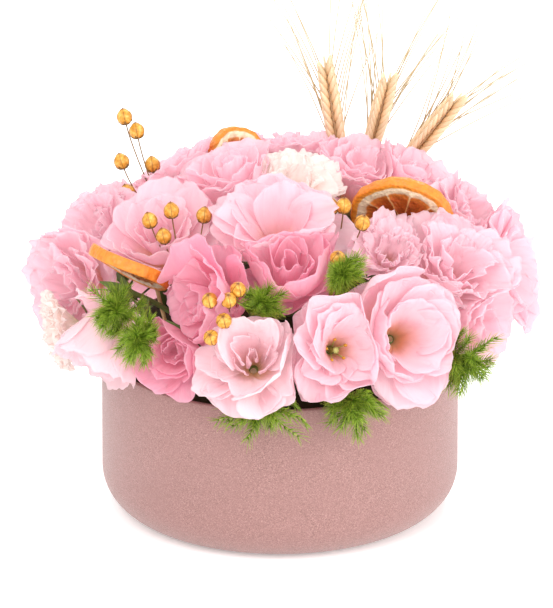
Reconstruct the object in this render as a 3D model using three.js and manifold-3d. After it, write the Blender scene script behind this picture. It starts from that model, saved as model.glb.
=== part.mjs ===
// A dome of cut lisianthus in a low round pot, with green tufts, wheat ears,
// dried orange slices and sprigs of flax seed pods. Millimetres, +Z up.
// The origin is the centre of the pot's foot, on the surface that it stands on; -Y is the front.
import * as THREE from "three";
import { mergeVertices } from "three/addons/utils/BufferGeometryUtils.js";
import Module from "manifold-3d";

// ---------- driving dimensions ----------
const POT_RADIUS = 116; // outside of the wall
const POT_HEIGHT = 109;
const POT_FOOT_ROUND = 27; // radius of the rounded lower edge
const POT_WALL = 3;
const FOAM_RADIUS = 111;
const GAP = 0.35; // left between pieces that touch
const DOME_CENTRE = 138; // height of the dome's widest level
const DOME_RADIUS = 138; // to the mouths of the blooms
const DOME_RISE = 88; // from the widest level up to the top
const DOME_DROP = 50; // from the widest level down to the lowest mouths
const PETAL_THICK = 1.3; // at the middle of a petal; it thins to a sharp edge
const STEM_FOOT = 84; // height of the lower ends of the long stems, in the foam

// ---------- where the blooms are ----------
// turn and rise place the mouth of a bloom on the dome, in degrees; turn 0 is the front and
// 90 is +X. reach scales its distance from the dome's centre. radius and depth are the open
// flower's size in mm, and room is the share of its radius that it can hold against its
// neighbours. yaw and pitch are the way that it faces, in degrees.
const BLOOMS = [
  // name, turn, rise, reach, radius, depth, room, yaw, pitch, kind
  ["front_right", 38, 13, 1.03, 45, 48, 1.1, 24, 24, "open"],
  ["front_mid", 18, 12, 1.03, 42, 42, 1.0, 20, 20, "open"],
  ["front_centre", -8, 13, 1.02, 39, 36, 1.0, -6, 46, "loose"],
  ["front_bud", -31, 7, 1.0, 28, 40, 0.95, -24, 6, "bud"],
  ["left_front", -54, 2, 1.03, 30, 40, 0.95, -45, -55, "bud"],
  ["left_low", -80, -8, 1.12, 24, 30, 0.9, -84, -10, "double"],
  ["left_far", -87, 10, 1.03, 40, 40, 0.95, -60, 12, "double"],
  ["left_upper", -98, 30, 1.03, 34, 36, 0.9, -66, 40, "double"],
  ["upper_left", -62, 50, 1.02, 40, 40, 0.95, -28, 62, "loose"],
  ["left_deep", -27, 28, 1.0, 38, 42, 0.92, -52, 10, "loose"],
  ["centre_deep", 4, 48, 1.0, 36, 42, 0.9, 8, 56, "loose"],
  ["centre_open", -2, 63, 1.0, 41, 40, 0.85, 0, 62, "open"],
  ["white_top", 50, 86, 1.0, 29, 34, 1.0, 4, 64, "double"],
  ["top_left", -100, 77, 1.0, 38, 36, 0.9, -60, 74, "loose"],
  ["top_left_back", -122, 56, 1.06, 31, 36, 0.9, -120, 56, "simple"],
  ["top_back", 165, 62, 1.04, 34, 36, 0.86, 170, 70, "simple"],
  ["top_right_mid", 122, 64, 1.04, 33, 36, 0.9, 70, 70, "simple"],
  ["top_right", 112, 50, 1.08, 34, 36, 0.9, 90, 56, "simple"],
  ["right_upper", 94, 35, 1.1, 35, 36, 0.9, 80, 40, "simple"],
  ["right_mid_upper", 47, 45, 1.03, 25, 34, 0.85, 20, 48, "double"],
  ["right_mid", 64, 30, 1.06, 42, 40, 0.95, 36, 52, "double"],
  ["right_low", 65, 7, 1.04, 38, 42, 0.93, 60, -2, "loose"],
  ["right_far", 88, 16, 1.15, 38, 40, 0.95, 78, 14, "open"],
  ["back_right", 123, 3, 1.04, 40, 40, 0.95, 123, 8, "simple"],
  ["back_mid_right", 154, 4, 1.02, 40, 40, 0.95, 154, 12, "simple"],
  ["back_mid", -176, 4, 1.02, 40, 40, 0.95, -176, 8, "simple"],
  ["back_left", -145, 4, 1.02, 40, 40, 0.95, -145, 12, "simple"],
  ["left_back", -118, 3, 1.04, 38, 40, 0.95, -118, 8, "simple"],
  ["back_upper_left", -168, 28, 1.06, 38, 38, 0.95, -168, 36, "simple"],
  ["back_upper_right", 143, 26, 1.06, 37, 38, 0.9, 143, 34, "simple"],
].map(([name, turn, rise, reach, radius, depth, room, yaw, pitch, kind]) => ({
  name, turn, rise, reach, radius, depth, room, yaw, pitch, kind,
}));

// The two whorls of petals of each kind of bloom, the outer one first. count petals share a
// turn, columns is how many points run across one petal, and step is how much further out a
// petal stands at one edge, and in at the other, as a share of its radius. The last three points of the
// side curve are shares of the bloom's radius and depth: along it a petal leaves the base,
// rises and opens.
const KINDS = {
  open: [
    { count: 5, wave: 0.06, step: 0.08, belly: [0.95, 0.06], shoulder: [0.6, 0.95], tip: [1.0, 0.86], rows: 3, columns: 4 },
    { count: 3, wave: 0.04, step: 0.05, belly: [0.6, 0.14], shoulder: [0.4, 0.8], tip: [0.62, 1.0], rows: 2, columns: 3 },
  ],
  loose: [
    { count: 5, wave: 0.06, step: 0.08, belly: [1.0, 0.06], shoulder: [0.72, 1.0], tip: [0.95, 0.82], rows: 3, columns: 3 },
    { count: 3, wave: 0.04, step: 0.05, belly: [0.58, 0.16], shoulder: [0.56, 0.8], tip: [0.5, 1.02], rows: 2, columns: 3 },
  ],
  double: [
    { count: 5, wave: 0.07, step: 0.08, belly: [0.95, 0.06], shoulder: [0.64, 0.95], tip: [1.0, 0.74], rows: 3, columns: 3 },
    { count: 3, wave: 0.05, step: 0.05, belly: [0.6, 0.15], shoulder: [0.45, 0.85], tip: [0.56, 1.0], rows: 2, columns: 3 },
  ],
  simple: [
    { count: 5, wave: 0.06, step: 0.08, belly: [1.0, 0.1], shoulder: [0.8, 1.0], tip: [1.0, 0.8], rows: 2, columns: 3 },
    { count: 3, wave: 0.04, step: 0.05, belly: [0.6, 0.15], shoulder: [0.5, 0.85], tip: [0.56, 1.0], rows: 2, columns: 3 },
  ],
  bud: [
    { count: 4, wave: 0.04, step: 0.08, belly: [1.05, 0.08], shoulder: [0.86, 0.95], tip: [0.98, 0.88], rows: 3, columns: 4 },
    { count: 3, wave: 0.02, step: 0.05, belly: [0.66, 0.15], shoulder: [0.62, 0.9], tip: [0.42, 1.02], rows: 2, columns: 3 },
  ],
};

// ---------- small helpers ----------
const wasm = await Module();
wasm.setup();
const rad = THREE.MathUtils.degToRad;
const at = (x, y, z) => new THREE.Vector3(x, y, z);

// A steady stand-in for chance: the same share from 0 to 1 for the same two numbers.
function chance(a, b) {
  const x = Math.sin(a * 12.9898 + b * 78.233) * 43758.5453;
  return x - Math.floor(x);
}

function solidOf(geometry) {
  const bare = geometry.index ? geometry.toNonIndexed() : geometry;
  const points = new THREE.BufferGeometry();
  points.setAttribute("position", bare.getAttribute("position"));
  const merged = mergeVertices(points, 1e-4);
  return new wasm.Manifold(
    new wasm.Mesh({
      numProp: 3,
      vertProperties: new Float32Array(merged.attributes.position.array),
      triVerts: new Uint32Array(merged.index.array),
    }),
  );
}

function geometryOf(solid) {
  const mesh = solid.getMesh();
  const points = new Float32Array(mesh.numVert * 3);
  for (let i = 0; i < mesh.numVert; i++) {
    points.set(mesh.vertProperties.subarray(i * mesh.numProp, i * mesh.numProp + 3), i * 3);
  }
  const geometry = new THREE.BufferGeometry();
  geometry.setAttribute("position", new THREE.BufferAttribute(points, 3));
  geometry.setIndex(new THREE.BufferAttribute(new Uint32Array(mesh.triVerts), 1));
  const flat = geometry.toNonIndexed();
  flat.computeVertexNormals();
  return flat;
}

const joined = (solids) => solids.reduce((all, one) => all.add(one));

// The largest piece of a solid: the scraps that a cut leaves loose are dropped.
function largest(solid) {
  const pieces = solid.decompose();
  return pieces.reduce((best, one) => (one.volume() > best.volume() ? one : best));
}

function boxesMeet(a, b) {
  const p = a.boundingBox();
  const q = b.boundingBox();
  return [0, 1, 2].every((k) => p.min[k] <= q.max[k] && q.min[k] <= p.max[k]);
}

function without(solid, others) {
  let left = solid;
  for (const other of others) {
    if (boxesMeet(left, other)) left = left.subtract(other);
  }
  return left;
}

// A closed solid from rings of points, each ring with as many points as the last.
function loft(rings) {
  const n = rings[0].length;
  const points = rings.flat();
  const middle = (ring) => ring.reduce((s, p) => s.add(p), at(0, 0, 0)).divideScalar(n);
  const first = points.push(middle(rings[0])) - 1;
  const last = points.push(middle(rings[rings.length - 1])) - 1;
  const triangles = [];
  for (let r = 0; r + 1 < rings.length; r++) {
    for (let i = 0; i < n; i++) {
      const a = r * n + i;
      const b = r * n + ((i + 1) % n);
      triangles.push(a, b, b + n, a, b + n, a + n);
    }
  }
  for (let i = 0; i < n; i++) {
    const next = (i + 1) % n;
    const top = (rings.length - 1) * n;
    triangles.push(first, next, i, last, top + i, top + next);
  }
  return solidFromPoints(points, triangles);
}

function solidFromPoints(points, triangles) {
  const made = new wasm.Manifold(
    new wasm.Mesh({
      numProp: 3,
      vertProperties: new Float32Array(points.flatMap((p) => [p.x, p.y, p.z])),
      triVerts: new Uint32Array(triangles),
    }),
  );
  return made;
}

// Two directions square to one another and to the given one.
function across(direction) {
  const helper = Math.abs(direction.z) < 0.9 ? at(0, 0, 1) : at(1, 0, 0);
  const side = at(0, 0, 0).crossVectors(helper, direction).normalize();
  return [side, at(0, 0, 0).crossVectors(direction, side)];
}

// A round stem along a curve, thick at the start and thinner or not at the end.
function stem(curve, steps, sides, startRadius, endRadius) {
  const rings = [];
  let [side, up] = across(curve.getTangent(0));
  for (let k = 0; k <= steps; k++) {
    const share = k / steps;
    const along = curve.getTangent(share);
    side = side.clone().addScaledVector(along, -side.dot(along)).normalize();
    up = at(0, 0, 0).crossVectors(along, side);
    const radius = startRadius + (endRadius - startRadius) * share;
    const centre = curve.getPoint(share);
    rings.push(
      Array.from({ length: sides }, (_, i) => {
        const a = (2 * Math.PI * i) / sides;
        return centre.clone()
          .addScaledVector(side, radius * Math.cos(a))
          .addScaledVector(up, radius * Math.sin(a));
      }),
    );
  }
  return loft(rings);
}

// A thin pointed spine with three sides.
function spine(from, to, radius) {
  const [side, up] = across(to.clone().sub(from).normalize());
  const points = [0, 1, 2].map((i) => {
    const a = (2 * Math.PI * i) / 3;
    return from.clone()
      .addScaledVector(side, radius * Math.cos(a))
      .addScaledVector(up, radius * Math.sin(a));
  });
  points.push(to);
  return solidFromPoints(points, [0, 2, 1, 0, 1, 3, 1, 2, 3, 2, 0, 3]);
}

// A ball stretched along a direction: rings of latitude with pointed ends.
function ball(centre, direction, radius, halfLength, sides, levels) {
  const [side, up] = across(direction);
  const points = [centre.clone().addScaledVector(direction, -halfLength)];
  for (let k = 1; k < levels; k++) {
    const a = -Math.PI / 2 + (Math.PI * k) / levels;
    for (let i = 0; i < sides; i++) {
      const b = (2 * Math.PI * (i + 0.5 * (k % 2))) / sides;
      points.push(
        centre.clone()
          .addScaledVector(direction, halfLength * Math.sin(a))
          .addScaledVector(side, radius * Math.cos(a) * Math.cos(b))
          .addScaledVector(up, radius * Math.cos(a) * Math.sin(b)),
      );
    }
  }
  const top = points.push(centre.clone().addScaledVector(direction, halfLength)) - 1;
  const triangles = [];
  for (let i = 0; i < sides; i++) {
    const next = (i + 1) % sides;
    triangles.push(0, 1 + next, 1 + i);
    for (let k = 0; k + 2 < levels; k++) {
      const a = 1 + k * sides;
      const b = a + sides;
      if (k % 2) triangles.push(a + i, a + next, b + next, a + i, b + next, b + i);
      else triangles.push(a + i, a + next, b + i, a + next, b + next, b + i);
    }
    const last = 1 + (levels - 2) * sides;
    triangles.push(top, last + i, last + next);
  }
  return solidFromPoints(points, triangles);
}

// ---------- the pot and its foam ----------
// The pot's side, from the middle of the foot out, up the wall and back inside.
function potProfile() {
  const points = [[0, 0]];
  const foot = POT_RADIUS - POT_FOOT_ROUND;
  for (let k = 0; k <= 4; k++) {
    const a = (k / 4) * (Math.PI / 2);
    points.push([foot + POT_FOOT_ROUND * Math.sin(a), POT_FOOT_ROUND * (1 - Math.cos(a))]);
  }
  points.push([POT_RADIUS, POT_HEIGHT]);
  points.push([POT_RADIUS - POT_WALL, POT_HEIGHT]);
  const inner = POT_FOOT_ROUND - POT_WALL;
  for (let k = 2; k >= 0; k--) {
    const a = (k / 2) * (Math.PI / 2);
    points.push([foot + inner * Math.sin(a), POT_FOOT_ROUND - inner * Math.cos(a)]);
  }
  points.push([0, POT_WALL]);
  return points.map(([r, z]) => new THREE.Vector2(r, z));
}

const POT_SIDES = 36;
const FOAM_SIDES = 15;
function turned(profile, sides) {
  const geometry = new THREE.LatheGeometry(profile, sides);
  geometry.rotateX(Math.PI / 2);
  return solidOf(geometry);
}

// The foam's side: it fills the pot and is cut to a mound above the rim.
const MOUND = [[111, 95], [86, 130], [46, 150], [0, 150]];
function foamProfile() {
  const foot = POT_RADIUS - POT_FOOT_ROUND;
  return [[0, POT_WALL + GAP], [foot - 1, POT_WALL + GAP + 2], [FOAM_RADIUS, POT_FOOT_ROUND], ...MOUND]
    .map(([r, z]) => new THREE.Vector2(r, z));
}

// ---------- a bloom ----------
function facing(yaw, pitch) {
  const level = Math.cos(rad(pitch));
  return at(level * Math.sin(rad(yaw)), -level * Math.cos(rad(yaw)), Math.sin(rad(pitch)));
}

function onDome(turn, rise, reach) {
  const height = rise > 0 ? DOME_RISE : DOME_DROP;
  const out = DOME_RADIUS * reach * Math.cos(rad(rise));
  return at(
    out * Math.sin(rad(turn)),
    -out * Math.cos(rad(turn)),
    DOME_CENTRE + height * reach * Math.sin(rad(rise)),
  );
}

const MOUTH_SHARE = 0.85; // the mouth is this share of the depth above the base
BLOOMS.forEach((bloom) => {
  bloom.axis = facing(bloom.yaw, bloom.pitch);
  bloom.base = onDome(bloom.turn, bloom.rise, bloom.reach)
    .addScaledVector(bloom.axis, -bloom.depth * MOUTH_SHARE);
  [bloom.side, bloom.up] = across(bloom.axis);
  bloom.heart = bloom.base.clone().addScaledVector(bloom.axis, bloom.depth * 0.55);
});

const TUFTS = [
  // name, centre x, y, z, ball radius, needle reach, the way it points, and how far round
  // the pot its foot is from it
  ["left", -104, -98, 170, 9, 19, -50, 30, 0],
  ["front_left", -89, -116, 159, 8, 19, -42, 12, -12],
  ["centre", -12, -114, 182, 8, 17, -8, 55, 0],
  ["centre_right", 39, -98, 195, 7, 14, 25, 40, 0],
  ["right", 117, -86, 134, 9, 25, 58, -20, 0],
  ["front", -12, -125, 118, 10, 24, -5, -15, 0],
  ["front_right", 45, -121, 118, 9, 22, 22, -20, 0],
].map(([name, x, y, z, radius, reach, yaw, pitch, aside]) => ({
  name, centre: at(x, y, z), radius, reach, axis: facing(yaw, pitch), aside,
}));

// Blooms and tufts share the dome out: each keeps to its own side of the plane between it and
// a neighbour, set nearer to the smaller of the two.
const CELLS = [
  ...BLOOMS.map((b) => ({ item: b, centre: b.heart, radius: b.radius * b.room })),
  ...TUFTS.map((t) => ({ item: t, centre: t.centre, radius: t.reach * 0.6 })),
];
const NEAR = 16; // how much further than touching two cells may be and still share a plane

function wallsOf(item) {
  const own = CELLS.find((cell) => cell.item === item);
  const walls = [];
  for (const other of CELLS) {
    if (other === own) continue;
    const between = other.centre.clone().sub(own.centre);
    const distance = between.length();
    if (distance > own.radius + other.radius + NEAR) continue;
    const share = 0.5 + (own.radius ** 2 - other.radius ** 2) / (2 * distance ** 2);
    const clamped = Math.min(0.75, Math.max(0.25, share));
    walls.push({
      normal: between.divideScalar(distance),
      point: own.centre.clone().lerp(other.centre, clamped),
    });
  }
  return walls;
}

// How far a piece that starts at a point may go along a direction before it comes nearer to
// a wall than the gap allows.
const CLEAR = GAP / 2 + PETAL_THICK * 0.75;
function roomAlong(start, direction, walls, clear) {
  let room = Infinity;
  for (const wall of walls) {
    const towards = direction.dot(wall.normal);
    const distance = wall.point.clone().sub(start).dot(wall.normal) - clear;
    if (towards > 1e-6) room = Math.min(room, Math.max(0, distance) / towards);
  }
  return room;
}

function sideCurve(bloom, layer, start) {
  const { radius, depth } = bloom;
  const share = ([r, z]) => new THREE.Vector2(r * radius, z * depth);
  return new THREE.CubicBezierCurve(
    new THREE.Vector2(...start), share(layer.belly), share(layer.shoulder), share(layer.tip),
  );
}

const TIP_ROUND = 0.22; // how much lower a petal's corners are than the middle of its tip
const SEAM = 5; // degrees from the edge of a petal to the seam between it and the next
const WAVES = 3; // ripples round a rim
const STARTS = [[5, 2.5], [2.8, 5]]; // where each whorl leaves the base

// How far a petal is bent out of its side curve. The ripples go round the whole flower.
function rippleAt(bloom, layer, angle, t) {
  const seed = BLOOMS.indexOf(bloom) + layer.count * 0.37;
  const ripple = Math.sin(WAVES * angle + 6.28 * chance(seed, 1));
  const sway = Math.sin(2 * angle + 6.28 * chance(seed, 2));
  return layer.wave * bloom.radius * t * t * (ripple + sway);
}

// A point in the middle of a petal's thickness: u runs across it from -1 to 1 and t along it
// from 0 to 1. Where a neighbour stands in the way the flower is narrower.
function petalPoint(bloom, layer, curve, turn, u, t) {
  const v = t * (1 - TIP_ROUND * Math.abs(u) ** 2.4);
  const p = curve.getPoint(v);
  const slope = curve.getTangent(v);
  const angle = turn + u * rad(180 / layer.count - SEAM);
  const lift = rippleAt(bloom, layer, angle, t);
  const r = (p.x - slope.y * lift) * (1 + layer.step * u * Math.min(1, 3 * v));
  return bloom.base.clone()
    .addScaledVector(bloom.axis, p.y + slope.x * lift)
    .addScaledVector(bloom.side, r * bloom.squeeze(angle) * Math.cos(angle))
    .addScaledVector(bloom.up, r * bloom.squeeze(angle) * Math.sin(angle));
}

// The rings of points of a whorl: up its outside, round the sharp rim and down its inside.
function whorlRings(bloom, layer, k) {
  const curve = sideCurve(bloom, layer, STARTS[k]);
  const start = 6.28 * chance(BLOOMS.indexOf(bloom), 3 + k);
  const { rows, columns, count } = layer;
  const middle = [];
  for (let j = 0; j <= rows; j++) {
    const ring = [];
    for (let c = 0; c < count * columns; c++) {
      const turn = start + (2 * Math.PI * Math.floor(c / columns)) / count;
      ring.push(petalPoint(bloom, layer, curve, turn, -1 + (2 * (c % columns)) / (columns - 1), j / rows));
    }
    middle.push(ring);
  }
  const n = count * columns;
  const face = (j, sign) => middle[j].map((here, c) => {
    const along = middle[j + 1][c].clone().sub(middle[Math.max(0, j - 1)][c]);
    const before = here.clone().sub(middle[j][(c + n - 1) % n]).cross(along).normalize();
    const after = middle[j][(c + 1) % n].clone().sub(here).cross(along).normalize();
    const spread = (sign * PETAL_THICK) / 2 / Math.max(0.6, 1 + before.dot(after));
    return here.clone().addScaledVector(before.add(after), spread);
  });
  const up = Array.from({ length: rows }, (_, j) => face(j, 1));
  const down = Array.from({ length: rows }, (_, j) => face(rows - 1 - j, -1));
  return [
    ...[...up, middle[rows]].map((points) => ({ points, start, down: false })),
    ...down.map((points) => ({ points, start, down: true })),
  ];
}

// How much narrower a bloom is towards each side, for its neighbours' sake.
const SQUEEZE_STEPS = 36;
function squeezeOf(bloom) {
  const walls = wallsOf(bloom);
  const shares = Array.from({ length: SQUEEZE_STEPS }, (_, i) => {
    const angle = (2 * Math.PI * i) / SQUEEZE_STEPS;
    const outward = bloom.side.clone().multiplyScalar(Math.cos(angle))
      .addScaledVector(bloom.up, Math.sin(angle));
    let share = 1;
    KINDS[bloom.kind].forEach((layer, k) => {
      const curve = sideCurve(bloom, layer, STARTS[k]);
      for (let v = 0.25; v <= 1.001; v += 0.125) {
        const p = curve.getPoint(Math.min(1, v));
        const slope = curve.getTangent(Math.min(1, v));
        const lift = rippleAt(bloom, layer, angle, v);
        const start = bloom.base.clone().addScaledVector(bloom.axis, p.y + slope.x * lift);
        const reach = (p.x - slope.y * lift) * (1 + layer.step);
        share = Math.min(share, roomAlong(start, outward, walls, CLEAR) / reach);
      }
    });
    return share;
  });
  // The shares are evened out, so that no petal has a sharp bend.
  const even = shares.map((_, i) =>
    Math.min(...[-1, 0, 1].map((k) => shares[(i + k + SQUEEZE_STEPS) % SQUEEZE_STEPS])));
  return (angle) => {
    const place = ((angle / (2 * Math.PI)) % 1 + 1) * SQUEEZE_STEPS;
    const low = Math.floor(place);
    const part = place - low;
    const share = (k) =>
      (even[(k + SQUEEZE_STEPS - 1) % SQUEEZE_STEPS] + 2 * even[k % SQUEEZE_STEPS]
        + even[(k + 1) % SQUEEZE_STEPS]) / 4;
    return share(low) * (1 - part) + share(low + 1) * part;
  };
}

// Joins two rings of points, which may have different numbers of them, with triangles. The
// squares between rings are cut from the first ring's side or, going down, from the other's.
function stitch(triangles, a, b, down) {
  let i = 0;
  let j = 0;
  while (i < a.length || j < b.length) {
    const here = a[i % a.length];
    const there = b[j % b.length];
    const lead = (i + 1) * b.length - (j + 1) * a.length;
    if (j === b.length || (i < a.length && (down ? lead < 0 : lead <= 0))) {
      triangles.push(here, a[(i + 1) % a.length], there);
      i++;
    } else {
      triangles.push(here, b[(j + 1) % b.length], there);
      j++;
    }
  }
}

const STEM_RADIUS = 2;
const STEM_GAP = 2 * GAP; // at the corners of a three-sided hole, which leaves half of it at its sides
const STEM_END = at(0, 0, 96); // the stems of the blooms point to here
const STEM_SHARE = 0.5; // how near to that point they start
// The three-sided rings of a bloom's stem, from the foam up to the base of the flower.
function stemRings(bloom, grow) {
  const foot = STEM_END.clone().lerp(bloom.base, STEM_SHARE);
  const bend = STEM_END.clone().lerp(bloom.base, 0.5 + STEM_SHARE / 2)
    .addScaledVector(bloom.axis, -2);
  const along = bend.clone().sub(foot).normalize();
  foot.addScaledVector(along, -grow);
  return [[foot, along], [bend, along.clone().add(bloom.axis).normalize()], [bloom.base, bloom.axis]]
    .map(([centre, direction]) => {
      const side = bloom.side.clone().addScaledVector(direction, -bloom.side.dot(direction)).normalize();
      const up = at(0, 0, 0).crossVectors(direction, side);
      return [0, 1, 2].map((i) => {
        const a = (2 * Math.PI * i) / 3;
        return centre.clone()
          .addScaledVector(side, (STEM_RADIUS + grow) * Math.cos(a))
          .addScaledVector(up, (STEM_RADIUS + grow) * Math.sin(a));
      });
    });
}

// A bloom is one skin: up its stem, up the outside of the outer whorl to its rim, down the
// inside, across the throat, up and down the inner whorl in the same way, onto the pistil.
function bloomSolid(bloom) {
  bloom.squeeze = squeezeOf(bloom);
  const rings = [
    ...stemRings(bloom, 0).map((points) => ({ points, start: 0, down: false })),
    ...KINDS[bloom.kind].flatMap((layer, k) => whorlRings(bloom, layer, k)),
  ];
  const points = [];
  rings.forEach((ring) => {
    ring.ids = ring.points.map((point) => points.push(point) - 1);
  });
  const triangles = [2, 1, 0];
  for (let k = 0; k + 1 < rings.length; k++) {
    const [a, b] = [rings[k], rings[k + 1]];
    // Two whorls start at different angles: the ring is turned to begin at the nearest point.
    const shift = Math.round((((a.start - b.start) / (2 * Math.PI)) % 1 + 1) * b.ids.length);
    const from = a.start === b.start ? 0 : shift % b.ids.length;
    stitch(triangles, a.ids, [...b.ids.slice(from), ...b.ids.slice(0, from)], b.down);
  }
  const pistil = bloom.base.clone().addScaledVector(bloom.axis, bloom.depth * 0.36);
  const tip = points.push(pistil) - 1;
  const last = rings.at(-1).ids;
  last.forEach((id, i) => triangles.push(tip, id, last[(i + 1) % last.length]));
  return solidFromPoints(points, triangles);
}

// ---------- stems ----------
function round(turn, out, height) {
  return at(out * Math.sin(rad(turn)), -out * Math.cos(rad(turn)), height);
}

// A stem that starts in the foam at foot, going up, and ends at tip, going along direction.
function stemCurve(foot, tip, direction, reach) {
  const pull = foot.distanceTo(tip) * reach;
  return new THREE.CubicBezierCurve3(
    foot,
    foot.clone().add(at(0, 0, pull)),
    tip.clone().addScaledVector(direction, -pull),
    tip,
  );
}

// ---------- green tufts ----------
// A tuft is a small ball on a stem, and on most facets of the ball stands a pointed needle.
function tuftSolid(tuft, grow) {
  const { centre, radius, reach, axis } = tuft;
  const walls = wallsOf(tuft);
  // A tuft that hangs over the rim stands nearer to it than the others.
  const turn = THREE.MathUtils.radToDeg(Math.atan2(centre.x, -centre.y)) + tuft.aside;
  const foot = round(turn, centre.z < 160 ? 102 : 84, STEM_FOOT);
  const stalk = stem(stemCurve(foot, centre.clone(), axis, 0.4), 4, 3, 1.5 + grow, 1.5 + grow);
  const globe = new THREE.IcosahedronGeometry(radius * 0.6 + grow, 1);
  globe.translate(centre.x, centre.y, centre.z);
  if (grow) return joined([stalk, solidOf(globe)]);

  const corners = globe.getAttribute("position");
  const skin = [];
  for (let k = 0; k < corners.count; k += 3) {
    const [a, b, c] = [0, 1, 2].map((i) => new THREE.Vector3().fromBufferAttribute(corners, k + i));
    const way = a.clone().add(b).add(c).divideScalar(3).sub(centre).normalize();
    if (k % 5 > 2) {
      skin.push(a, b, c);
      continue;
    }
    const forward = 0.75 + 0.25 * way.dot(axis);
    const length = reach * forward * (0.75 + 0.25 * chance(k, centre.y));
    const room = roomAlong(centre, way, walls, GAP / 2 + 0.02);
    const tip = centre.clone().addScaledVector(way, Math.min(length, room));
    skin.push(a, b, tip, b, c, tip, c, a, tip);
  }
  return joined([stalk, solidOf(new THREE.BufferGeometry().setFromPoints(skin))]);
}

// ---------- wheat ----------
const EARS = [
  // name, base of the ear x, y, z, then its yaw and pitch, length, width
  ["left", 39, 78, 208, 250, 81, 74, 8.5],
  ["mid", 59, 84, 212, 75, 76, 60, 9],
  ["right", 82, 76, 206, 80, 54, 66, 10],
].map(([name, x, y, z, yaw, pitch, length, width]) => ({
  name, base: at(x, y, z), axis: facing(yaw, pitch), length, width,
}));
const EAR_LEVELS = 5;
const AWN_LENGTH = 84;
const AWNS = 8;

function earSolid(ear, grow) {
  const { base, axis, length, width } = ear;
  const away = Math.hypot(base.x, base.y);
  const foot = at(base.x * (64 / away), base.y * (64 / away), STEM_FOOT);
  const tip = base.clone().addScaledVector(axis, length);
  const pieces = [
    stem(stemCurve(foot, base.clone(), axis, 0.35), 3, 3, 1.5 + grow, 1.5 + grow),
    stem(new THREE.LineCurve3(base, tip), 1, 4, 1.8 + grow, 1 + grow),
  ];
  // The ear's broad side faces the front.
  const flat = at(1, 0, 0).addScaledVector(axis, -axis.x).normalize();
  const deep = at(0, 0, 0).crossVectors(axis, flat);
  for (let k = 0; k < 2 * EAR_LEVELS; k++) {
    const share = (k + 0.5) / (2 * EAR_LEVELS);
    const sideways = k % 2 ? 1 : -1;
    const bulge = width * (0.55 + 0.45 * Math.sin(Math.PI * (0.15 + 0.75 * share)));
    const fore = k % 4 < 2 ? 1 : -1;
    const lean = axis.clone().addScaledVector(flat, 0.3 * sideways)
      .addScaledVector(deep, 0.2 * fore).normalize();
    const centre = base.clone()
      .addScaledVector(axis, share * (length - 7))
      .addScaledVector(flat, sideways * bulge * 0.42)
      .addScaledVector(deep, fore * bulge * 0.2);
    pieces.push(ball(centre, lean, bulge * 0.5 + grow, 8 + grow, 4, 2));
    if (!grow && k % 3 !== 2 && k < AWNS * 1.5) {
      const way = axis.clone().addScaledVector(flat, sideways * (0.16 + 0.2 * chance(k, length)))
        .addScaledVector(deep, 0.3 * (chance(k, width) - 0.5)).normalize();
      const reach = AWN_LENGTH * (0.85 + 0.15 * chance(k, 3));
      pieces.push(spine(centre, centre.clone().addScaledVector(way, reach), 0.5));
    }
  }
  return joined(pieces);
}

// ---------- dried orange slices ----------
const SLICES = [
  // name, centre x, y, z, radius, half thickness, then the way that its face looks
  ["right", 80, -8, 199, 35, 4, -16, -24],
  ["back", -28, 68, 208, 25, 3.5, 40, 20],
  ["left", -97, -66, 188, 28, 4, 133, 55],
].map(([name, x, y, z, radius, half, yaw, pitch]) => ({
  name, centre: at(x, y, z), radius, half, axis: facing(yaw, pitch),
}));
const SEGMENTS = 16;

// The rind is the thick rim; inside the pith the dried flesh has shrunk and puckered.
function sliceSolid(slice, grow) {
  const { centre, radius, half, axis } = slice;
  const [side, up] = across(axis);
  const place = (share, angle, height) =>
    centre.clone()
      .addScaledVector(axis, height)
      .addScaledVector(side, share * Math.cos(angle))
      .addScaledVector(up, share * Math.sin(angle));
  const steps = [[0.14, 0.55], [0.76, 0.6], [1, 0.9]];
  const rings = [];
  const level = (radiusShare, heightShare, sign) => {
    const ring = [];
    for (let i = 0; i < SEGMENTS; i++) {
      const a = (2 * Math.PI * i) / SEGMENTS;
      const flesh = radiusShare > 0.5 && radiusShare < 0.8 ? (i % 2 ? 1 : 0.94) : 1;
      ring.push(place(
        radius * radiusShare * flesh + (radiusShare === 1 ? grow : 0),
        a,
        sign * (half * heightShare + grow),
      ));
    }
    return ring;
  };
  steps.forEach(([r, h]) => rings.push(level(r, h, -1)));
  [...steps].reverse().forEach(([r, h]) => rings.push(level(r, h, 1)));
  return loft(rings);
}

// A wooden pick holds each slice: it stands in the foam and ends in the rind.
const PICK_RADIUS = 1.4;
function pickSolid(slice, grow) {
  const { centre, radius, axis } = slice;
  const down = at(0, 0, -1).addScaledVector(axis, axis.z).normalize();
  const tip = centre.clone().addScaledVector(down, radius + GAP - grow);
  const away = Math.hypot(tip.x, tip.y);
  const inward = Math.min(1, 72 / away);
  const foot = at(tip.x * inward, tip.y * inward, STEM_FOOT);
  return stem(new THREE.LineCurve3(foot, tip), 1, 3, PICK_RADIUS + grow, PICK_RADIUS + grow);
}

// ---------- flax ----------
const POD_RADIUS = 5;
const SPRIGS = [
  // name, where its stems meet, then its pods
  ["back_left", [-70, 22, 154], [[-101, 34, 254], [-93, 32, 245], [-103, 34, 223], [-83, 36, 220], [-99, 30, 203]]],
  ["left", [-60, -52, 154], [[-84, -54, 216], [-70, -52, 222], [-75, -54, 205], [-49, -50, 218], [-58, -54, 192]]],
  ["centre", [-30, -84, 146], [[-45, -131, 191], [-33, -131, 191], [-27, -125, 196], [-36, -139, 180], [-44, -143, 170]]],
  ["right", [34, -44, 162], [[33, -50, 224], [41, -54, 226], [53, -66, 219], [37, -88, 203]]],
  ["far_right", [88, 8, 146], [[119, 4, 189]]],
];

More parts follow.
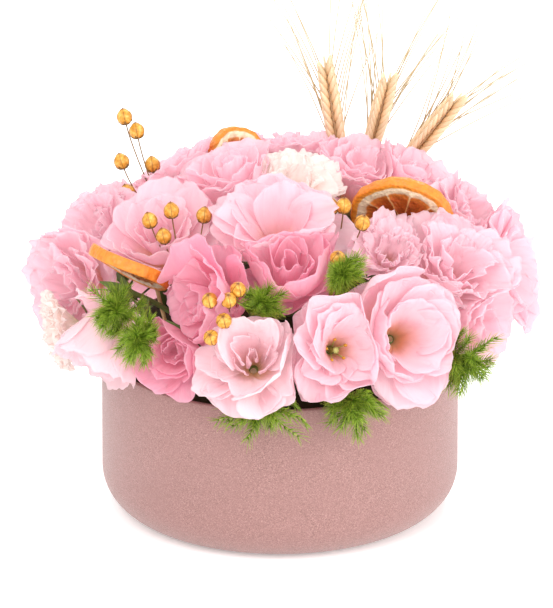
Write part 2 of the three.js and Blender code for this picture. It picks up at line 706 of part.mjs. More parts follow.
// A pod and its stalk are one skin of four-sided rings.
function podSolid(from, centre, way, grow) {
  const curve = stemCurve(from, centre.clone().addScaledVector(way, -POD_RADIUS), way, 0.25);
  const [side, up] = across(way);
  const ring = (middle, radius) => [0, 1, 2, 3].map((i) => {
    const a = (Math.PI * i) / 2;
    return middle.clone()
      .addScaledVector(side, (radius + grow) * Math.cos(a))
      .addScaledVector(up, (radius + grow) * Math.sin(a));
  });
  const rings = [0, 0.4, 0.75, 1].map((share) => ring(curve.getPoint(share), 0.95 - 0.1 * share));
  [[-0.45, 1], [0.45, 1], [1, 0.2]].forEach(([along, wide]) =>
    rings.push(ring(centre.clone().addScaledVector(way, along * (POD_RADIUS + grow)), wide * POD_RADIUS)));
  return loft(rings);
}

function sprigSolid([, meet, pods], grow) {
  const fork = at(...meet);
  const foot = fork.clone().setZ(STEM_FOOT + 20);
  const pieces = [stem(new THREE.LineCurve3(foot, fork), 1, 3, 1.4 + grow, 1.4 + grow)];
  pods.forEach((pod) => {
    const centre = at(...pod);
    const way = centre.clone().sub(fork).normalize().add(at(0, 0, 0.4)).normalize();
    pieces.push(podSolid(fork.clone().add(at(0, 0, -2)), centre, way, grow));
  });
  return joined(pieces);
}

// ---------- putting it together ----------
const COLOURS = {
  pot: [0xc79890, 0.75],
  foam: [0x2e2a1e, 0.95],
  petals: [0xf6c3d2, 0.6],
  cream: [0xf7ebe4, 0.6],
  deep: [0xea8fae, 0.6],
  tuft: [0x4f7a1e, 0.7],
  wheat: [0xdfb67c, 0.7],
  orange: [0xe8862a, 0.6],
  flax: [0xd09a34, 0.6],
  wood: [0xc9a878, 0.8],
};
const group = new THREE.Group();
function addPiece(name, solid, colour) {
  const [color, roughness] = COLOURS[colour];
  const material = new THREE.MeshStandardMaterial({ color, roughness, metalness: 0 });
  const mesh = new THREE.Mesh(geometryOf(largest(solid)), material);
  mesh.name = name;
  group.add(mesh);
}

const pot = turned(potProfile(), POT_SIDES);
// What the pot takes up, for the pieces above and beside it: the wall and all below its rim.
const potRoom = turned(
  [[0, -1], [POT_RADIUS + GAP, -1], [POT_RADIUS + GAP, POT_HEIGHT + GAP], [0, POT_HEIGHT + GAP]]
    .map(([r, z]) => new THREE.Vector2(r, z)),
  POT_SIDES,
);

// The same for the pieces that stand in the foam and hang over the rim.
const rimRoom = turned(
  [
    [POT_RADIUS - POT_WALL - GAP, POT_HEIGHT / 2], [POT_RADIUS + GAP, POT_HEIGHT / 2],
    [POT_RADIUS + GAP, POT_HEIGHT + GAP], [POT_RADIUS - POT_WALL - GAP, POT_HEIGHT + GAP],
    [POT_RADIUS - POT_WALL - GAP, POT_HEIGHT / 2],
  ].map(([r, z]) => new THREE.Vector2(r, z)),
  POT_SIDES,
);

const build = (make, items) => items.map((item) => ({ item, solid: make(item, 0), room: make(item, GAP) }));
const ears = build(earSolid, EARS);
const slices = build(sliceSolid, SLICES);
const picks = build(pickSolid, SLICES);
const sprigs = build(sprigSolid, SPRIGS);
const tufts = build(tuftSolid, TUFTS);
const rooms = (list) => list.map((entry) => entry.room);

let foam = turned(foamProfile(), FOAM_SIDES);
foam = without(foam, [
  ...rooms(ears), ...rooms(picks), ...rooms(sprigs), ...rooms(tufts),
  ...BLOOMS.map((bloom) => loft(stemRings(bloom, STEM_GAP))),
]);

addPiece("pot", pot, "pot");
addPiece("foam", foam, "foam");
ears.forEach(({ item, solid }) => addPiece("wheat_" + item.name, solid, "wheat"));
slices.forEach(({ item, solid }) =>
  addPiece("orange_" + item.name, without(solid, rooms(ears)), "orange"));
picks.forEach(({ item, solid }) =>
  addPiece("pick_" + item.name, without(solid, [...rooms(ears), ...rooms(slices)]), "wood"));
sprigs.forEach(({ item, solid }) =>
  addPiece("flax_" + item[0], without(solid, [...rooms(ears), ...rooms(picks), ...rooms(slices)]), "flax"));
const firm = [...rooms(ears), ...rooms(picks), ...rooms(slices), ...rooms(sprigs)];
tufts.forEach(({ item, solid }) =>
  addPiece("tuft_" + item.name, without(solid, [...firm, rimRoom]), "tuft"));
const all = [...firm, ...rooms(tufts), potRoom];
BLOOMS.forEach((bloom) => {
  const colour = { white_top: "cream", left_low: "cream", centre_deep: "deep" }[bloom.name] ?? "petals";
  addPiece("bloom_" + bloom.name, without(bloomSolid(bloom), all), colour);
});

export default group;
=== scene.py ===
# %% [markdown]
# # Lisianthus in a low round pot
# Thirty cut lisianthus stand in wet floral foam inside a speckled pot. Between them are tufts of
# fern, three wheat ears, dried orange slices and sprigs of flax pods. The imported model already
# says where everything is and how big it is. This lesson gives each piece its real surface:
# petals as thin ruffled sheets, needles, grains, rind, seed pods and the pot's grainy coat.
#
# Every shape is a formula worked out on a whole grid at once. Lengths are in millimetres
# until the moment that a mesh is made, +Z is up, and -Y is the front.

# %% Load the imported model
import math

import bpy
import numpy as np
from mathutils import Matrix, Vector


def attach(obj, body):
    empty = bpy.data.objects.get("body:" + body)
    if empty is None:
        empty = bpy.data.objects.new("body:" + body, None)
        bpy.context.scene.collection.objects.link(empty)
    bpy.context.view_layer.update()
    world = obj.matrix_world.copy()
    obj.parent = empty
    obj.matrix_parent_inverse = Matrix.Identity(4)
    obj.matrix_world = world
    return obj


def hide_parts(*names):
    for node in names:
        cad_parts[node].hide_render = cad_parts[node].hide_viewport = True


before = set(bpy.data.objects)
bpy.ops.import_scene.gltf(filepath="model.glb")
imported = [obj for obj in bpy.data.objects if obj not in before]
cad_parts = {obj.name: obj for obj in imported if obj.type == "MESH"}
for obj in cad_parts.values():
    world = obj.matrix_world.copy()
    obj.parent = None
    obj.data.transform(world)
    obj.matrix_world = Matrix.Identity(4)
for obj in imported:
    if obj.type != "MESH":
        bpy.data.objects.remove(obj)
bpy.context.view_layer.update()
print("packed nodes:", len(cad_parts))

# %% [markdown]
# ## The camera
# The photograph was taken with a long lens from a little above: the rim of the pot is an
# ellipse whose height is 0.37 of its width, so the camera looks down by 21.5 degrees. Things at
# the front and the back are the same size, so it stands far away.

# %% Camera at the photograph's angle
MM = 0.001  # one millimetre in metres
PHOTO_WIDTH, PHOTO_HEIGHT = 553, 608  # pixels
PIXEL = 0.65  # millimetres on the object for each pixel
POT_AXIS_X = 280  # the pixel column of the pot's axis
FOOT_ROW = 499.8  # the pixel row where the middle of the pot's foot would be seen
LOOK_DOWN = 21.5  # degrees
DISTANCE = 9000.0  # from the camera to the pot's axis, mm
SENSOR = 36  # mm

tilt = math.radians(LOOK_DOWN)
centre_x = (PHOTO_WIDTH / 2 - POT_AXIS_X) * PIXEL
centre_z = (FOOT_ROW - PHOTO_HEIGHT / 2) * PIXEL / math.cos(tilt)
camera_data = bpy.data.cameras.new("camera")
camera_data.sensor_width = SENSOR
camera_data.lens = SENSOR * DISTANCE / (PHOTO_HEIGHT * PIXEL)
camera_data.clip_start, camera_data.clip_end = 1, 40
camera = bpy.data.objects.new("camera", camera_data)
bpy.context.scene.collection.objects.link(camera)
camera.location = (
    centre_x * MM,
    -DISTANCE * math.cos(tilt) * MM,
    (centre_z + DISTANCE * math.sin(tilt)) * MM,
)
camera.rotation_euler = (math.radians(90 - LOOK_DOWN), 0, 0)
bpy.context.scene.camera = camera
print("camera lens:", round(camera_data.lens), "mm, looking down", LOOK_DOWN, "degrees")

# %% [markdown]
# ## Small tools
# Chance has to come out the same on each run, so it is a formula and not a random number. Two
# directions square to a third one give every stem and bloom its own axes.

# %% Vectors and steady chance
def chance(a, b):
    """A share from 0 to 1 for two numbers: what is left after the point of a large sine."""
    x = np.sin(np.asarray(a) * 12.9898 + np.asarray(b) * 78.233) * 43758.5453
    return x - np.floor(x)


def either_way(a, b):
    """Steady chance from -1 to 1."""
    return 2 * chance(a, b) - 1


def unit(vectors):
    """Each vector divided by its own length."""
    length = np.linalg.norm(vectors, axis=-1, keepdims=True)
    return vectors / np.maximum(length, 1e-9)


def smooth(share):
    """0 below 0, 1 above 1, and 3s² - 2s³ between them."""
    share = np.clip(share, 0, 1)
    return share * share * (3 - 2 * share)


def across(direction):
    """Two directions square to the given one: its cross with up, and the cross of both."""
    helper = np.array([0.0, 0, 1]) if abs(direction[2]) < 0.9 else np.array([1.0, 0, 0])
    side = unit(np.cross(helper, direction))
    return side, np.cross(direction, side)


def facing(yaw, pitch):
    """The direction turned from the front by yaw, towards +X, and raised by pitch, in degrees."""
    yaw, pitch = math.radians(yaw), math.radians(pitch)
    level = math.cos(pitch)
    return np.array([level * math.sin(yaw), -level * math.cos(yaw), math.sin(pitch)])


def bezier(points, t):
    """A cubic Bezier curve: its four points weighed by (1-t)³, 3(1-t)²t, 3(1-t)t² and t³."""
    a, b, c, d = points
    return (1 - t) ** 3 * a + 3 * (1 - t) ** 2 * t * b + 3 * (1 - t) * t**2 * c + t**3 * d


# %% [markdown]
# ## Two kinds of surface
# Everything in the pot is either a thin sheet, such as a petal or a leaf, or a closed skin round
# an axis, such as a stem, a grain or the pot. Sheets and skins are made many at a time: one
# array holds all the petals of a whorl. A tray collects them and becomes one mesh.

# %% A tray that collects surfaces and casts them as one object
def four(a, b, c, d):
    """Four arrays of corners as one list of four-sided faces."""
    return np.stack([a, b, c, d], -1).reshape(-1, 4)


class Tray:
    """Points and faces that wait to become one mesh, with a place on the surface and a tone."""

    def __init__(self):
        self.points, self.quads, self.triangles = [], [], []
        self.places, self.tones, self.finishes = [], [], []
        self.count = 0

    def add(self, points, quads, triangles, place, tone, finish):
        """place is (along u, along v) for each point, and finish the number of a material."""
        self.points.append(points.reshape(-1, 3))
        self.places.append(place.reshape(-1, 2))
        self.tones.append(tone.ravel())
        self.quads.append((quads + self.count, finish))
        self.triangles.append((triangles + self.count, finish))
        self.count += len(self.points[-1])

    def cast(self, name, materials, replaces=()):
        """Makes the mesh and its object, which rides on the pot's body."""
        mesh = bpy.data.meshes.new(name)
        points = np.concatenate(self.points) * MM
        quads = np.concatenate([q for q, _ in self.quads])
        triangles = np.concatenate([t for t, _ in self.triangles])
        corners = np.concatenate([quads.ravel(), triangles.ravel()]).astype(np.int32)
        starts = np.concatenate([
            np.arange(len(quads)) * 4, len(quads) * 4 + np.arange(len(triangles)) * 3,
        ]).astype(np.int32)
        finish = np.concatenate([
            np.full(len(faces), number) for faces, number in self.quads + self.triangles
        ]).astype(np.int32)
        mesh.vertices.add(len(points))
        mesh.vertices.foreach_set("co", points.ravel())
        mesh.loops.add(len(corners))
        mesh.loops.foreach_set("vertex_index", corners)
        mesh.polygons.add(len(starts))
        mesh.polygons.foreach_set("loop_start", starts)
        mesh.polygons.foreach_set("material_index", finish)
        mesh.polygons.foreach_set("use_smooth", np.ones(len(starts), bool))
        for material in materials:
            mesh.materials.append(material)
        mesh.update(calc_edges=True)
        places = mesh.uv_layers.new(name="place")
        places.data.foreach_set("uv", np.concatenate(self.places)[corners].ravel())
        tones = mesh.attributes.new("tone", "FLOAT", "POINT")
        tones.data.foreach_set("value", np.concatenate(self.tones))
        piece = bpy.data.objects.new(name, mesh)
        bpy.context.scene.collection.objects.link(piece)
        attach(piece, "root")
        if replaces:
            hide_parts(*replaces)
        print(name, "has", 2 * len(quads) + len(triangles), "triangles")
        return piece


# %% Sheets: petals, sepals and leaves
def border(numbers):
    """The numbers round the edge of each grid, one side after another, each corner once."""
    first, right = numbers[:, 0, :-1], numbers[:, :-1, -1]
    last, left = numbers[:, -1, :0:-1], numbers[:, :0:-1, 0]
    return np.concatenate([first, right, last, left], axis=1)


def sheets(tray, grids, place, tone, thickness, finish=0):
    """Thin closed sheets from grids of points, numbered sheet, row and column.

    The normal at a point is the cross of the grid's two slopes there. Both faces are the grid
    moved half the thickness along it, and a strip of faces joins them round the edge.
    """
    n, rows, columns = grids.shape[:3]
    normal = unit(np.cross(np.gradient(grids, axis=2), np.gradient(grids, axis=1)))
    both = np.stack([grids + normal * thickness / 2, grids - normal * thickness / 2], axis=1)
    index = np.arange(n * 2 * rows * columns).reshape(n, 2, rows, columns)
    up, down = index[:, 0], index[:, 1]
    top = four(up[:, :-1, :-1], up[:, :-1, 1:], up[:, 1:, 1:], up[:, 1:, :-1])
    under = four(down[:, :-1, :-1], down[:, 1:, :-1], down[:, 1:, 1:], down[:, :-1, 1:])
    edge_up, edge_down = border(up), border(down)
    rim = four(edge_down, np.roll(edge_down, -1, 1), np.roll(edge_up, -1, 1), edge_up)
    place = np.broadcast_to(place, (n, rows, columns, 2))
    place = np.stack([place, place], axis=1)
    tone = np.broadcast_to(tone, (n, rows, columns))
    tone = np.stack([tone, tone], axis=1)
    tray.add(both, np.concatenate([top, under, rim]), np.zeros((0, 3), int), place, tone, finish)


# %% Skins: stems, needles, grains, pods and the pot
def skins(tray, rings, first, last, tone=0.5, finish=0):
    """Closed skins from rings of points, numbered skin, ring and corner, with a point at each end.

    Neighbouring rings are joined by four-sided faces, and the end rings to the end points by
    triangles. u goes round the skin and v along it, both from 0 to 1.
    """
    n, levels, sides = rings.shape[:3]
    index = np.arange(n * levels * sides).reshape(n, levels, sides)
    after = np.roll(index, -1, 2)
    quads = four(index[:, :-1], after[:, :-1], after[:, 1:], index[:, 1:])
    ends = n * levels * sides + np.arange(2 * n).reshape(2, n, 1)
    ends = np.broadcast_to(ends, (2, n, sides))
    caps = np.concatenate([
        np.stack([ends[0], after[:, 0], index[:, 0]], -1).reshape(-1, 3),
        np.stack([ends[1], index[:, -1], after[:, -1]], -1).reshape(-1, 3),
    ])
    points = np.concatenate([rings.reshape(-1, 3), first.reshape(-1, 3), last.reshape(-1, 3)])
    round_it = np.arange(sides) / sides
    along = np.arange(1, levels + 1) / (levels + 1)
    place = np.stack(np.meshgrid(round_it, along), -1)
    place = np.broadcast_to(place, (n, levels, sides, 2)).reshape(-1, 2)
    place = np.concatenate([place, np.tile([[0.5, 0.0]], (n, 1)), np.tile([[0.5, 1.0]], (n, 1))])
    tone = np.broadcast_to(np.asarray(tone, float).reshape(-1, 1, 1), (n, levels, sides))
    tones = np.concatenate([tone.ravel(), tone[:, 0, 0], tone[:, 0, 0]])
    tray.add(points, quads, caps, place, tones, finish)


def tubes(tray, paths, radii, sides, tone=0.5, finish=0):
    """Round skins along paths, numbered tube and step.

    A ring stands square to the path's slope at each step, with two directions in its plane,
    and its points are the step plus the radius times cos·side + sin·up.
    """
    slope = unit(np.gradient(paths, axis=1))
    whole = unit(paths[:, -1] - paths[:, 0])
    helper = np.where(np.abs(whole[:, 2:]) < 0.8, [[0.0, 0, 1]], [[0.0, 1, 0]])
    side = unit(np.cross(helper[:, None], slope))
    up = np.cross(slope, side)
    turn = 2 * np.pi * np.arange(sides) / sides
    ring = side[:, :, None] * np.cos(turn)[:, None] + up[:, :, None] * np.sin(turn)[:, None]
    radii = np.broadcast_to(radii, paths.shape[:2])
    rings = paths[:, :, None] + ring * radii[:, :, None, None]
    skins(tray, rings, paths[:, 0], paths[:, -1], tone, finish)


# %% [markdown]
# ## Colours and materials
# A colour is picked as a web colour, which is how screens store it, and shaders want it linear.
# One small function adds a node with its settings and its links, and every material is built
# from it.

# %% One function for colours and one for nodes
def colour(hex_code):
    """A web colour such as #F6C3D2 as linear red, green, blue and 1."""
    parts = [int(hex_code[i : i + 2], 16) / 255 for i in (1, 3, 5)]
    return (*[p / 12.92 if p <= 0.04045 else ((p + 0.055) / 1.055) ** 2.4 for p in parts], 1.0)


def node(tree, kind, inputs=(), **settings):
    """Adds a node: settings are its own properties, and inputs are values or other sockets."""
    made = tree.nodes.new(kind)
    for key, value in settings.items():
        setattr(made, key, value)
    for key, value in dict(inputs).items():
        if isinstance(value, bpy.types.NodeSocket):
            tree.links.new(value, made.inputs[key])
        else:
            made.inputs[key].default_value = value
    return made


def new_material(name):
    """An empty material: its node tree and a Principled shader that is already its surface."""
    material = bpy.data.materials.new(name)
    material.use_nodes = True
    tree = material.node_tree
    tree.nodes.clear()
    shader = node(tree, "ShaderNodeBsdfPrincipled")
    out = node(tree, "ShaderNodeOutputMaterial", {"Surface": shader.outputs[0]})
    return material, tree, shader, out


def ramp(tree, share, stops):
    """Colours at places from 0 to 1, blended between them."""
    made = node(tree, "ShaderNodeValToRGB", {"Fac": share})
    elements = made.color_ramp.elements
    for place, _ in stops[len(elements):]:
        elements.new(place)
    for element, (place, hex_code) in zip(elements, stops):
        element.position = place
        element.color = colour(hex_code)
    return made.outputs["Color"]


def mixed(tree, share, first, second, **settings):
    """One colour blended into another by a share from 0 to 1."""
    made = node(tree, "ShaderNodeMix", {0: share, 6: first, 7: second}, data_type="RGBA", **settings)
    return made.outputs[2]


def sums(tree, operation, *values):
    """A sum on numbers, such as ADD or MULTIPLY, one after another."""
    return node(tree, "ShaderNodeMath", enumerate(values), operation=operation).outputs[0]


def stretched_share(tree, share, low, high, least, most):
    """A share stretched so that low becomes least and high becomes most, and kept between them."""
    return node(tree, "ShaderNodeMapRange", {0: share, 1: low, 2: high, 3: least, 4: most}).outputs[0]


def surface_place(tree):
    """The place on a surface: u across or round it, and v along it."""
    place = node(tree, "ShaderNodeUVMap", uv_map="place")
    split = node(tree, "ShaderNodeSeparateXYZ", {0: place.outputs[0]})
    return place.outputs[0], split.outputs[0], split.outputs[1]


def noise(tree, where, scale, detail):
    """Cloudy noise; scale is how many clouds there are to a metre, or to one of u and v."""
    made = node(tree, "ShaderNodeTexNoise", {"Vector": where, "Scale": scale, "Detail": detail})
    return made.outputs[0]


def in_space(tree):
    """The place in the piece itself, in metres."""
    return node(tree, "ShaderNodeTexCoord").outputs["Object"]


# %% [markdown]
# ## Petals
# A lisianthus petal is a sheet of cells about a third of a millimetre thick, smooth and a
# little silky. Light passes through it: the folds behind glow a deeper pink. Fine veins fan
# out from its foot, the throat is yellow-green and peach, and the rim is often a shade deeper.
# Two ramps run along the petal, one for the palest and one for the deepest petals, and the
# tone kept on the mesh mixes them.

# %% Petal material: ramps along the petal, fine veins, light through the sheet
INNER_LIGHT = 0.16  # stands for the light that wanders from petal to petal deep in a bloom


def petal_material(name, pale, deep, glow):
    """Velvety petal: pale and deep are the colours from foot to rim, and glow shows light behind."""
    material, tree, shader, out = new_material(name)
    place, _, v = surface_place(tree)
    tone = node(tree, "ShaderNodeAttribute", attribute_name="tone").outputs["Fac"]
    body = mixed(tree, tone, ramp(tree, v, pale), ramp(tree, v, deep))
    # Veins are noise drawn out along the petal, some twenty across it.
    stretched = node(tree, "ShaderNodeMapping", {0: place, "Scale": (11, 1.3, 1)})
    veins = noise(tree, stretched.outputs[0], 2.0, 3.0)
    veined = mixed(tree, stretched_share(tree, veins, 0.48, 0.72, 0.0, 0.30), body, colour(glow))
    # Pale clouds about 11 mm across lie over them.
    clouds = noise(tree, in_space(tree), 90.0, 2.0)
    petal = mixed(tree, stretched_share(tree, clouds, 0.35, 0.7, 0.0, 0.15), veined, colour("#FFF4F6"))
    bump = node(tree, "ShaderNodeBump", {"Height": veins, "Strength": 0.9, "Distance": 1.6 * MM})
    # The petal glows a little in its own colour, by INNER_LIGHT: painted light that stands in for the
    # light wandering from petal to petal deep in a bloom, so the shade between petals is painted paler.
    tree.links.new(petal, shader.inputs["Base Color"])
    tree.links.new(petal, shader.inputs["Emission Color"])
    shader.inputs["Emission Strength"].default_value = INNER_LIGHT
    tree.links.new(bump.outputs[0], shader.inputs["Normal"])
    shader.inputs["Roughness"].default_value = 0.55
    shader.inputs["IOR"].default_value = 1.38
    shader.inputs["Sheen Weight"].default_value = 0.12
    # Half of the light goes on through the sheet, and a little passes straight between its cells.
    through = node(tree, "ShaderNodeBsdfTranslucent", {"Color": colour(glow)})
    both = node(tree, "ShaderNodeMixShader", {0: 0.52, 1: shader.outputs[0], 2: through.outputs[0]})
    pores = node(tree, "ShaderNodeBsdfTransparent")
    sheer = node(tree, "ShaderNodeMixShader", {0: 0.16, 1: both.outputs[0], 2: pores.outputs[0]})
    tree.links.new(sheer.outputs[0], out.inputs["Surface"])
    return material


pink_petal = petal_material(
    "lisianthus petal pink",
    [
        (0.0, "#E4C870"), (0.20, "#F8C896"), (0.38, "#F9DCCF"), (0.52, "#FBE9EA"), (0.7, "#FBEFF1"),
        (1.0, "#FAE5EA"),
    ],
    [
        (0.0, "#D8B058"), (0.15, "#F3AE8A"), (0.30, "#F5BBC5"), (0.46, "#F7CBD6"), (0.7, "#F9D8E0"),
        (1.0, "#FAE0E7"),
    ],
    "#F9CEDB",
)
blush_petal = petal_material(
    "lisianthus petal blush",
    [
        (0.0, "#DDC468"), (0.14, "#F3CCA0"), (0.30, "#F8E2DA"), (0.46, "#FAEDEC"), (0.7, "#FBF1F2"),
        (1.0, "#F9E6EA"),
    ],
    [
        (0.0, "#C89C4C"), (0.13, "#E8A084"), (0.30, "#F0B4B8"), (0.46, "#F4C7CD"), (0.7, "#F7D8DE"),
        (1.0, "#F8E0E5"),
    ],
    "#FADEE4",
)
deep_petal = petal_material(
    "lisianthus petal deep pink",
    [(0.0, "#D4C26C"), (0.14, "#F3C09C"), (0.30, "#F6C6D2"), (0.70, "#F8D5DF"), (1.0, "#F6CEDA")],
    [(0.0, "#C49C4C"), (0.12, "#ED9CA4"), (0.30, "#F1A6BC"), (0.70, "#F4BECF"), (1.0, "#F5C7D5")],
    "#F4A8C2",
)
cream_petal = petal_material(
    "lisianthus petal cream",
    [(0.0, "#DCDA94"), (0.16, "#FCF2D4"), (0.4, "#FEFAF4"), (0.8, "#FEFCFA"), (1.0, "#FDF7F4")],
    [(0.0, "#D4CA80"), (0.16, "#FAE6CC"), (0.4, "#FDEEEA"), (0.8, "#FEF2F0"), (1.0, "#FCE8E9")],
    "#FCEAE4",
)
print("petal materials:", len(bpy.data.materials))

# %% Plain plant materials: stamens, stems, needles, straw
def plant_material(name, stops, roughness, grain, drift, depth):
    """Colours along the piece from foot to tip, made uneven by noise.

    grain is the size of the noise and depth the height of its bumps, both in mm, and drift is how
    far along the piece the noise may shift the colours. The tone makes whole pieces darker or paler.
    """
    material, tree, shader, _ = new_material(name)
    v = surface_place(tree)[2]
    uneven = noise(tree, in_space(tree), 1 / (grain * MM), 3.0)
    tone = node(tree, "ShaderNodeAttribute", attribute_name="tone").outputs["Fac"]
    along = sums(tree, "ADD", v, sums(tree, "MULTIPLY", uneven, drift))
    centred = sums(tree, "SUBTRACT", along, drift / 2)
    shade = stretched_share(tree, tone, 0.0, 1.0, 0.62, 1.15)
    lit = node(tree, "ShaderNodeVectorMath", {
        0: ramp(tree, centred, stops), "Scale": shade,
    }, operation="SCALE")
    bump = node(tree, "ShaderNodeBump", {"Height": uneven, "Strength": 0.5, "Distance": depth * MM})
    tree.links.new(lit.outputs[0], shader.inputs["Base Color"])
    tree.links.new(bump.outputs[0], shader.inputs["Normal"])
    shader.inputs["Roughness"].default_value = roughness
    shader.inputs["IOR"].default_value = 1.45
    return material


anther_yellow = plant_material("anther pollen", [(0, "#C98E2C"), (1, "#E9B949")], 0.9, 0.6, 0.3, 0.1)
pistil_green = plant_material("pistil", [(0, "#93A24A"), (1, "#C7CF7A")], 0.5, 2.0, 0.2, 0.1)
stem_green = plant_material(
    "lisianthus stem and leaf", [(0, "#5E7A3A"), (1, "#7F9A55")], 0.5, 6.0, 0.5, 0.3,
)
fern_green = plant_material(
    "fern needle", [(0, "#485F0E"), (0.4, "#789A22"), (0.85, "#A8BE3C"), (1, "#C8D46E")],
    0.45, 4.0, 0.3, 0.1,
)
wheat_straw = plant_material(
    "wheat husk", [(0, "#CFA26A"), (0.3, "#E0BC8C"), (0.7, "#EED3AC"), (1, "#F6E4C8")],
    0.55, 1.2, 0.35, 0.15,
)
awn_straw = plant_material("wheat awn", [(0, "#BFA87C"), (1, "#CDBD9C")], 0.5, 3.0, 0.3, 0.05)
flax_brown = plant_material(
    "flax stalk", [(0, "#6E5A2E"), (0.8, "#8A6A34"), (1, "#7A5526")], 0.6, 3.0, 0.4, 0.1,
)
pick_wood = plant_material("birch pick", [(0, "#B8925C"), (1, "#D8BC8C")], 0.7, 1.5, 0.5, 0.1)
foam_wet = plant_material("wet floral foam", [(0, "#26301A"), (1, "#3A3A22")], 0.9, 2.0, 0.8, 0.6)
print("materials so far:", len(bpy.data.materials))

# %% [markdown]
# ## Where the blooms are
# The blooms sit on a dome. Two angles place the mouth of a bloom on it, and two more say which
# way it faces. The list repeats the CAD source's own values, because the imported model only
# knows finished shapes. Twelve blooms are of another kind here, because their solids have fewer
# petals. tone goes from 0, the palest, to 1.

# %% The dome and its blooms
DOME_CENTRE, DOME_RADIUS, DOME_RISE, DOME_DROP = 138, 138, 88, 50
MOUTH_SHARE = 0.85  # the mouth is this share of the depth above a bloom's base
BLOOMS = [
    # name, turn, rise, reach, radius, depth, room, yaw, pitch, kind, tone
    ("front_right", 38, 13, 1.03, 45, 48, 1.10, 24, 24, "open", 0.15),
    ("front_mid", 18, 12, 1.03, 42, 42, 1.0, 20, 20, "open", 0.30),
    ("front_centre", -8, 13, 1.02, 39, 36, 1.0, -6, 46, "loose", 0.10),
    ("front_bud", -31, 7, 1.0, 28, 40, 0.95, -24, 6, "bud", 0.45),
    ("left_front", -54, 2, 1.03, 30, 40, 0.95, -45, -55, "bud", 0.15),
    ("left_low", -80, -8, 1.12, 24, 30, 0.9, -84, -10, "double", 0.2),
    ("left_far", -87, 10, 1.03, 40, 40, 0.95, -60, 12, "double", 0.30),
    ("left_upper", -98, 30, 1.03, 34, 36, 0.9, -66, 40, "double", 0.3),
    ("upper_left", -62, 50, 1.02, 40, 40, 0.95, -28, 62, "loose", 0.5),
    ("left_deep", -27, 28, 1.0, 38, 42, 0.92, -52, 10, "loose", 0.8),
    ("centre_deep", 4, 48, 1.0, 36, 42, 0.9, 8, 56, "loose", 0.6),
    ("centre_open", -2, 63, 1.0, 41, 40, 0.85, 0, 62, "open", 0.3),
    ("white_top", 50, 86, 1.0, 29, 34, 1.0, 4, 64, "double", 0.1),
    ("top_left", -100, 77, 1.0, 38, 36, 0.9, -60, 74, "loose", 0.30),
    ("top_left_back", -122, 56, 1.06, 31, 36, 0.9, -120, 56, "loose", 0.35),
    ("top_back", 165, 62, 1.04, 34, 36, 0.86, 170, 70, "loose", 0.3),
    ("top_right_mid", 122, 64, 1.04, 33, 36, 0.9, 70, 70, "loose", 0.45),
    ("top_right", 112, 50, 1.08, 34, 36, 0.9, 90, 56, "loose", 0.45),
    ("right_upper", 94, 35, 1.1, 35, 36, 0.9, 80, 40, "double", 0.35),
    ("right_mid_upper", 47, 45, 1.03, 25, 34, 0.85, 20, 48, "double", 0.2),
    ("right_mid", 64, 30, 1.06, 42, 40, 0.95, 36, 52, "double", 0.2),
    ("right_low", 65, 7, 1.04, 38, 42, 0.93, 60, -2, "loose", 0.55),
    ("right_far", 88, 16, 1.15, 38, 40, 0.95, 78, 14, "open", 0.35),
    ("back_right", 123, 3, 1.04, 40, 40, 0.95, 123, 8, "loose", 0.45),
    ("back_mid_right", 154, 4, 1.02, 40, 40, 0.95, 154, 12, "double", 0.35),
    ("back_mid", -176, 4, 1.02, 40, 40, 0.95, -176, 8, "loose", 0.3),
    ("back_left", -145, 4, 1.02, 40, 40, 0.95, -145, 12, "open", 0.4),
    ("left_back", -118, 3, 1.04, 38, 40, 0.95, -118, 8, "double", 0.4),
    ("back_upper_left", -168, 28, 1.06, 38, 38, 0.95, -168, 36, "double", 0.4),
    ("back_upper_right", 143, 26, 1.06, 37, 38, 0.9, 143, 34, "open", 0.35),
]
SLICES = [
    # name, centre x, y, z, radius, half thickness, then the way that its face looks
    ("right", 80, -8, 199, 35, 4, -16, -24),
    ("back", -28, 68, 208, 25, 3.5, 40, 20),
    ("left", -97, -66, 188, 28, 4, 133, 55),
]
TUFTS = [
    # name, centre x, y, z, radius of the heart, reach of the needles, yaw, pitch, aside
    ("left", -104, -98, 170, 9, 19, -50, 30, 0),
    ("front_left", -89, -116, 159, 8, 19, -42, 12, -12),
    ("centre", -12, -114, 182, 8, 17, -8, 55, 0),
    ("centre_right", 39, -98, 195, 7, 14, 25, 40, 0),
    ("right", 117, -86, 134, 9, 25, 58, -20, 0),
    ("front", -12, -125, 118, 10, 24, -5, -15, 0),
    ("front_right", 45, -121, 118, 9, 22, 22, -20, 0),
]


def on_dome(turn, rise, reach):
    """The point of the dome at a turn from the front and a rise above its widest level."""
    height = DOME_RISE if rise > 0 else DOME_DROP
    out = DOME_RADIUS * reach * math.cos(math.radians(rise))
    return np.array([
        out * math.sin(math.radians(turn)),
        -out * math.cos(math.radians(turn)),
        DOME_CENTRE + height * reach * math.sin(math.radians(rise)),
    ])


class Bloom:
    """Where a bloom stands and the way that it faces."""

    def __init__(self, number, row):
        self.name, turn, rise, reach, self.radius, self.depth, room, yaw, pitch, self.kind, self.tone = row
        self.number = number
        self.axis = facing(yaw, pitch)
        self.base = on_dome(turn, rise, reach) - self.axis * self.depth * MOUTH_SHARE
        self.side, self.up = across(self.axis)
        self.heart = self.base + self.axis * self.depth * 0.55
        self.hold = self.radius * room


blooms = [Bloom(number, row) for number, row in enumerate(BLOOMS)]
print("blooms:", len(blooms), "tufts:", len(TUFTS))

# %% [markdown]
# ## Blooms that press on one another
# Fresh blooms are packed so tightly that each gives way to its neighbours. Between two hearts
# lies a wall, nearer to the smaller bloom. A petal that would cross it is laid against it
# instead: its depth beyond the wall is turned into a small depth before it. The walls are
# wavy, and lean over one of the two blooms, so that the meeting lines are not straight.

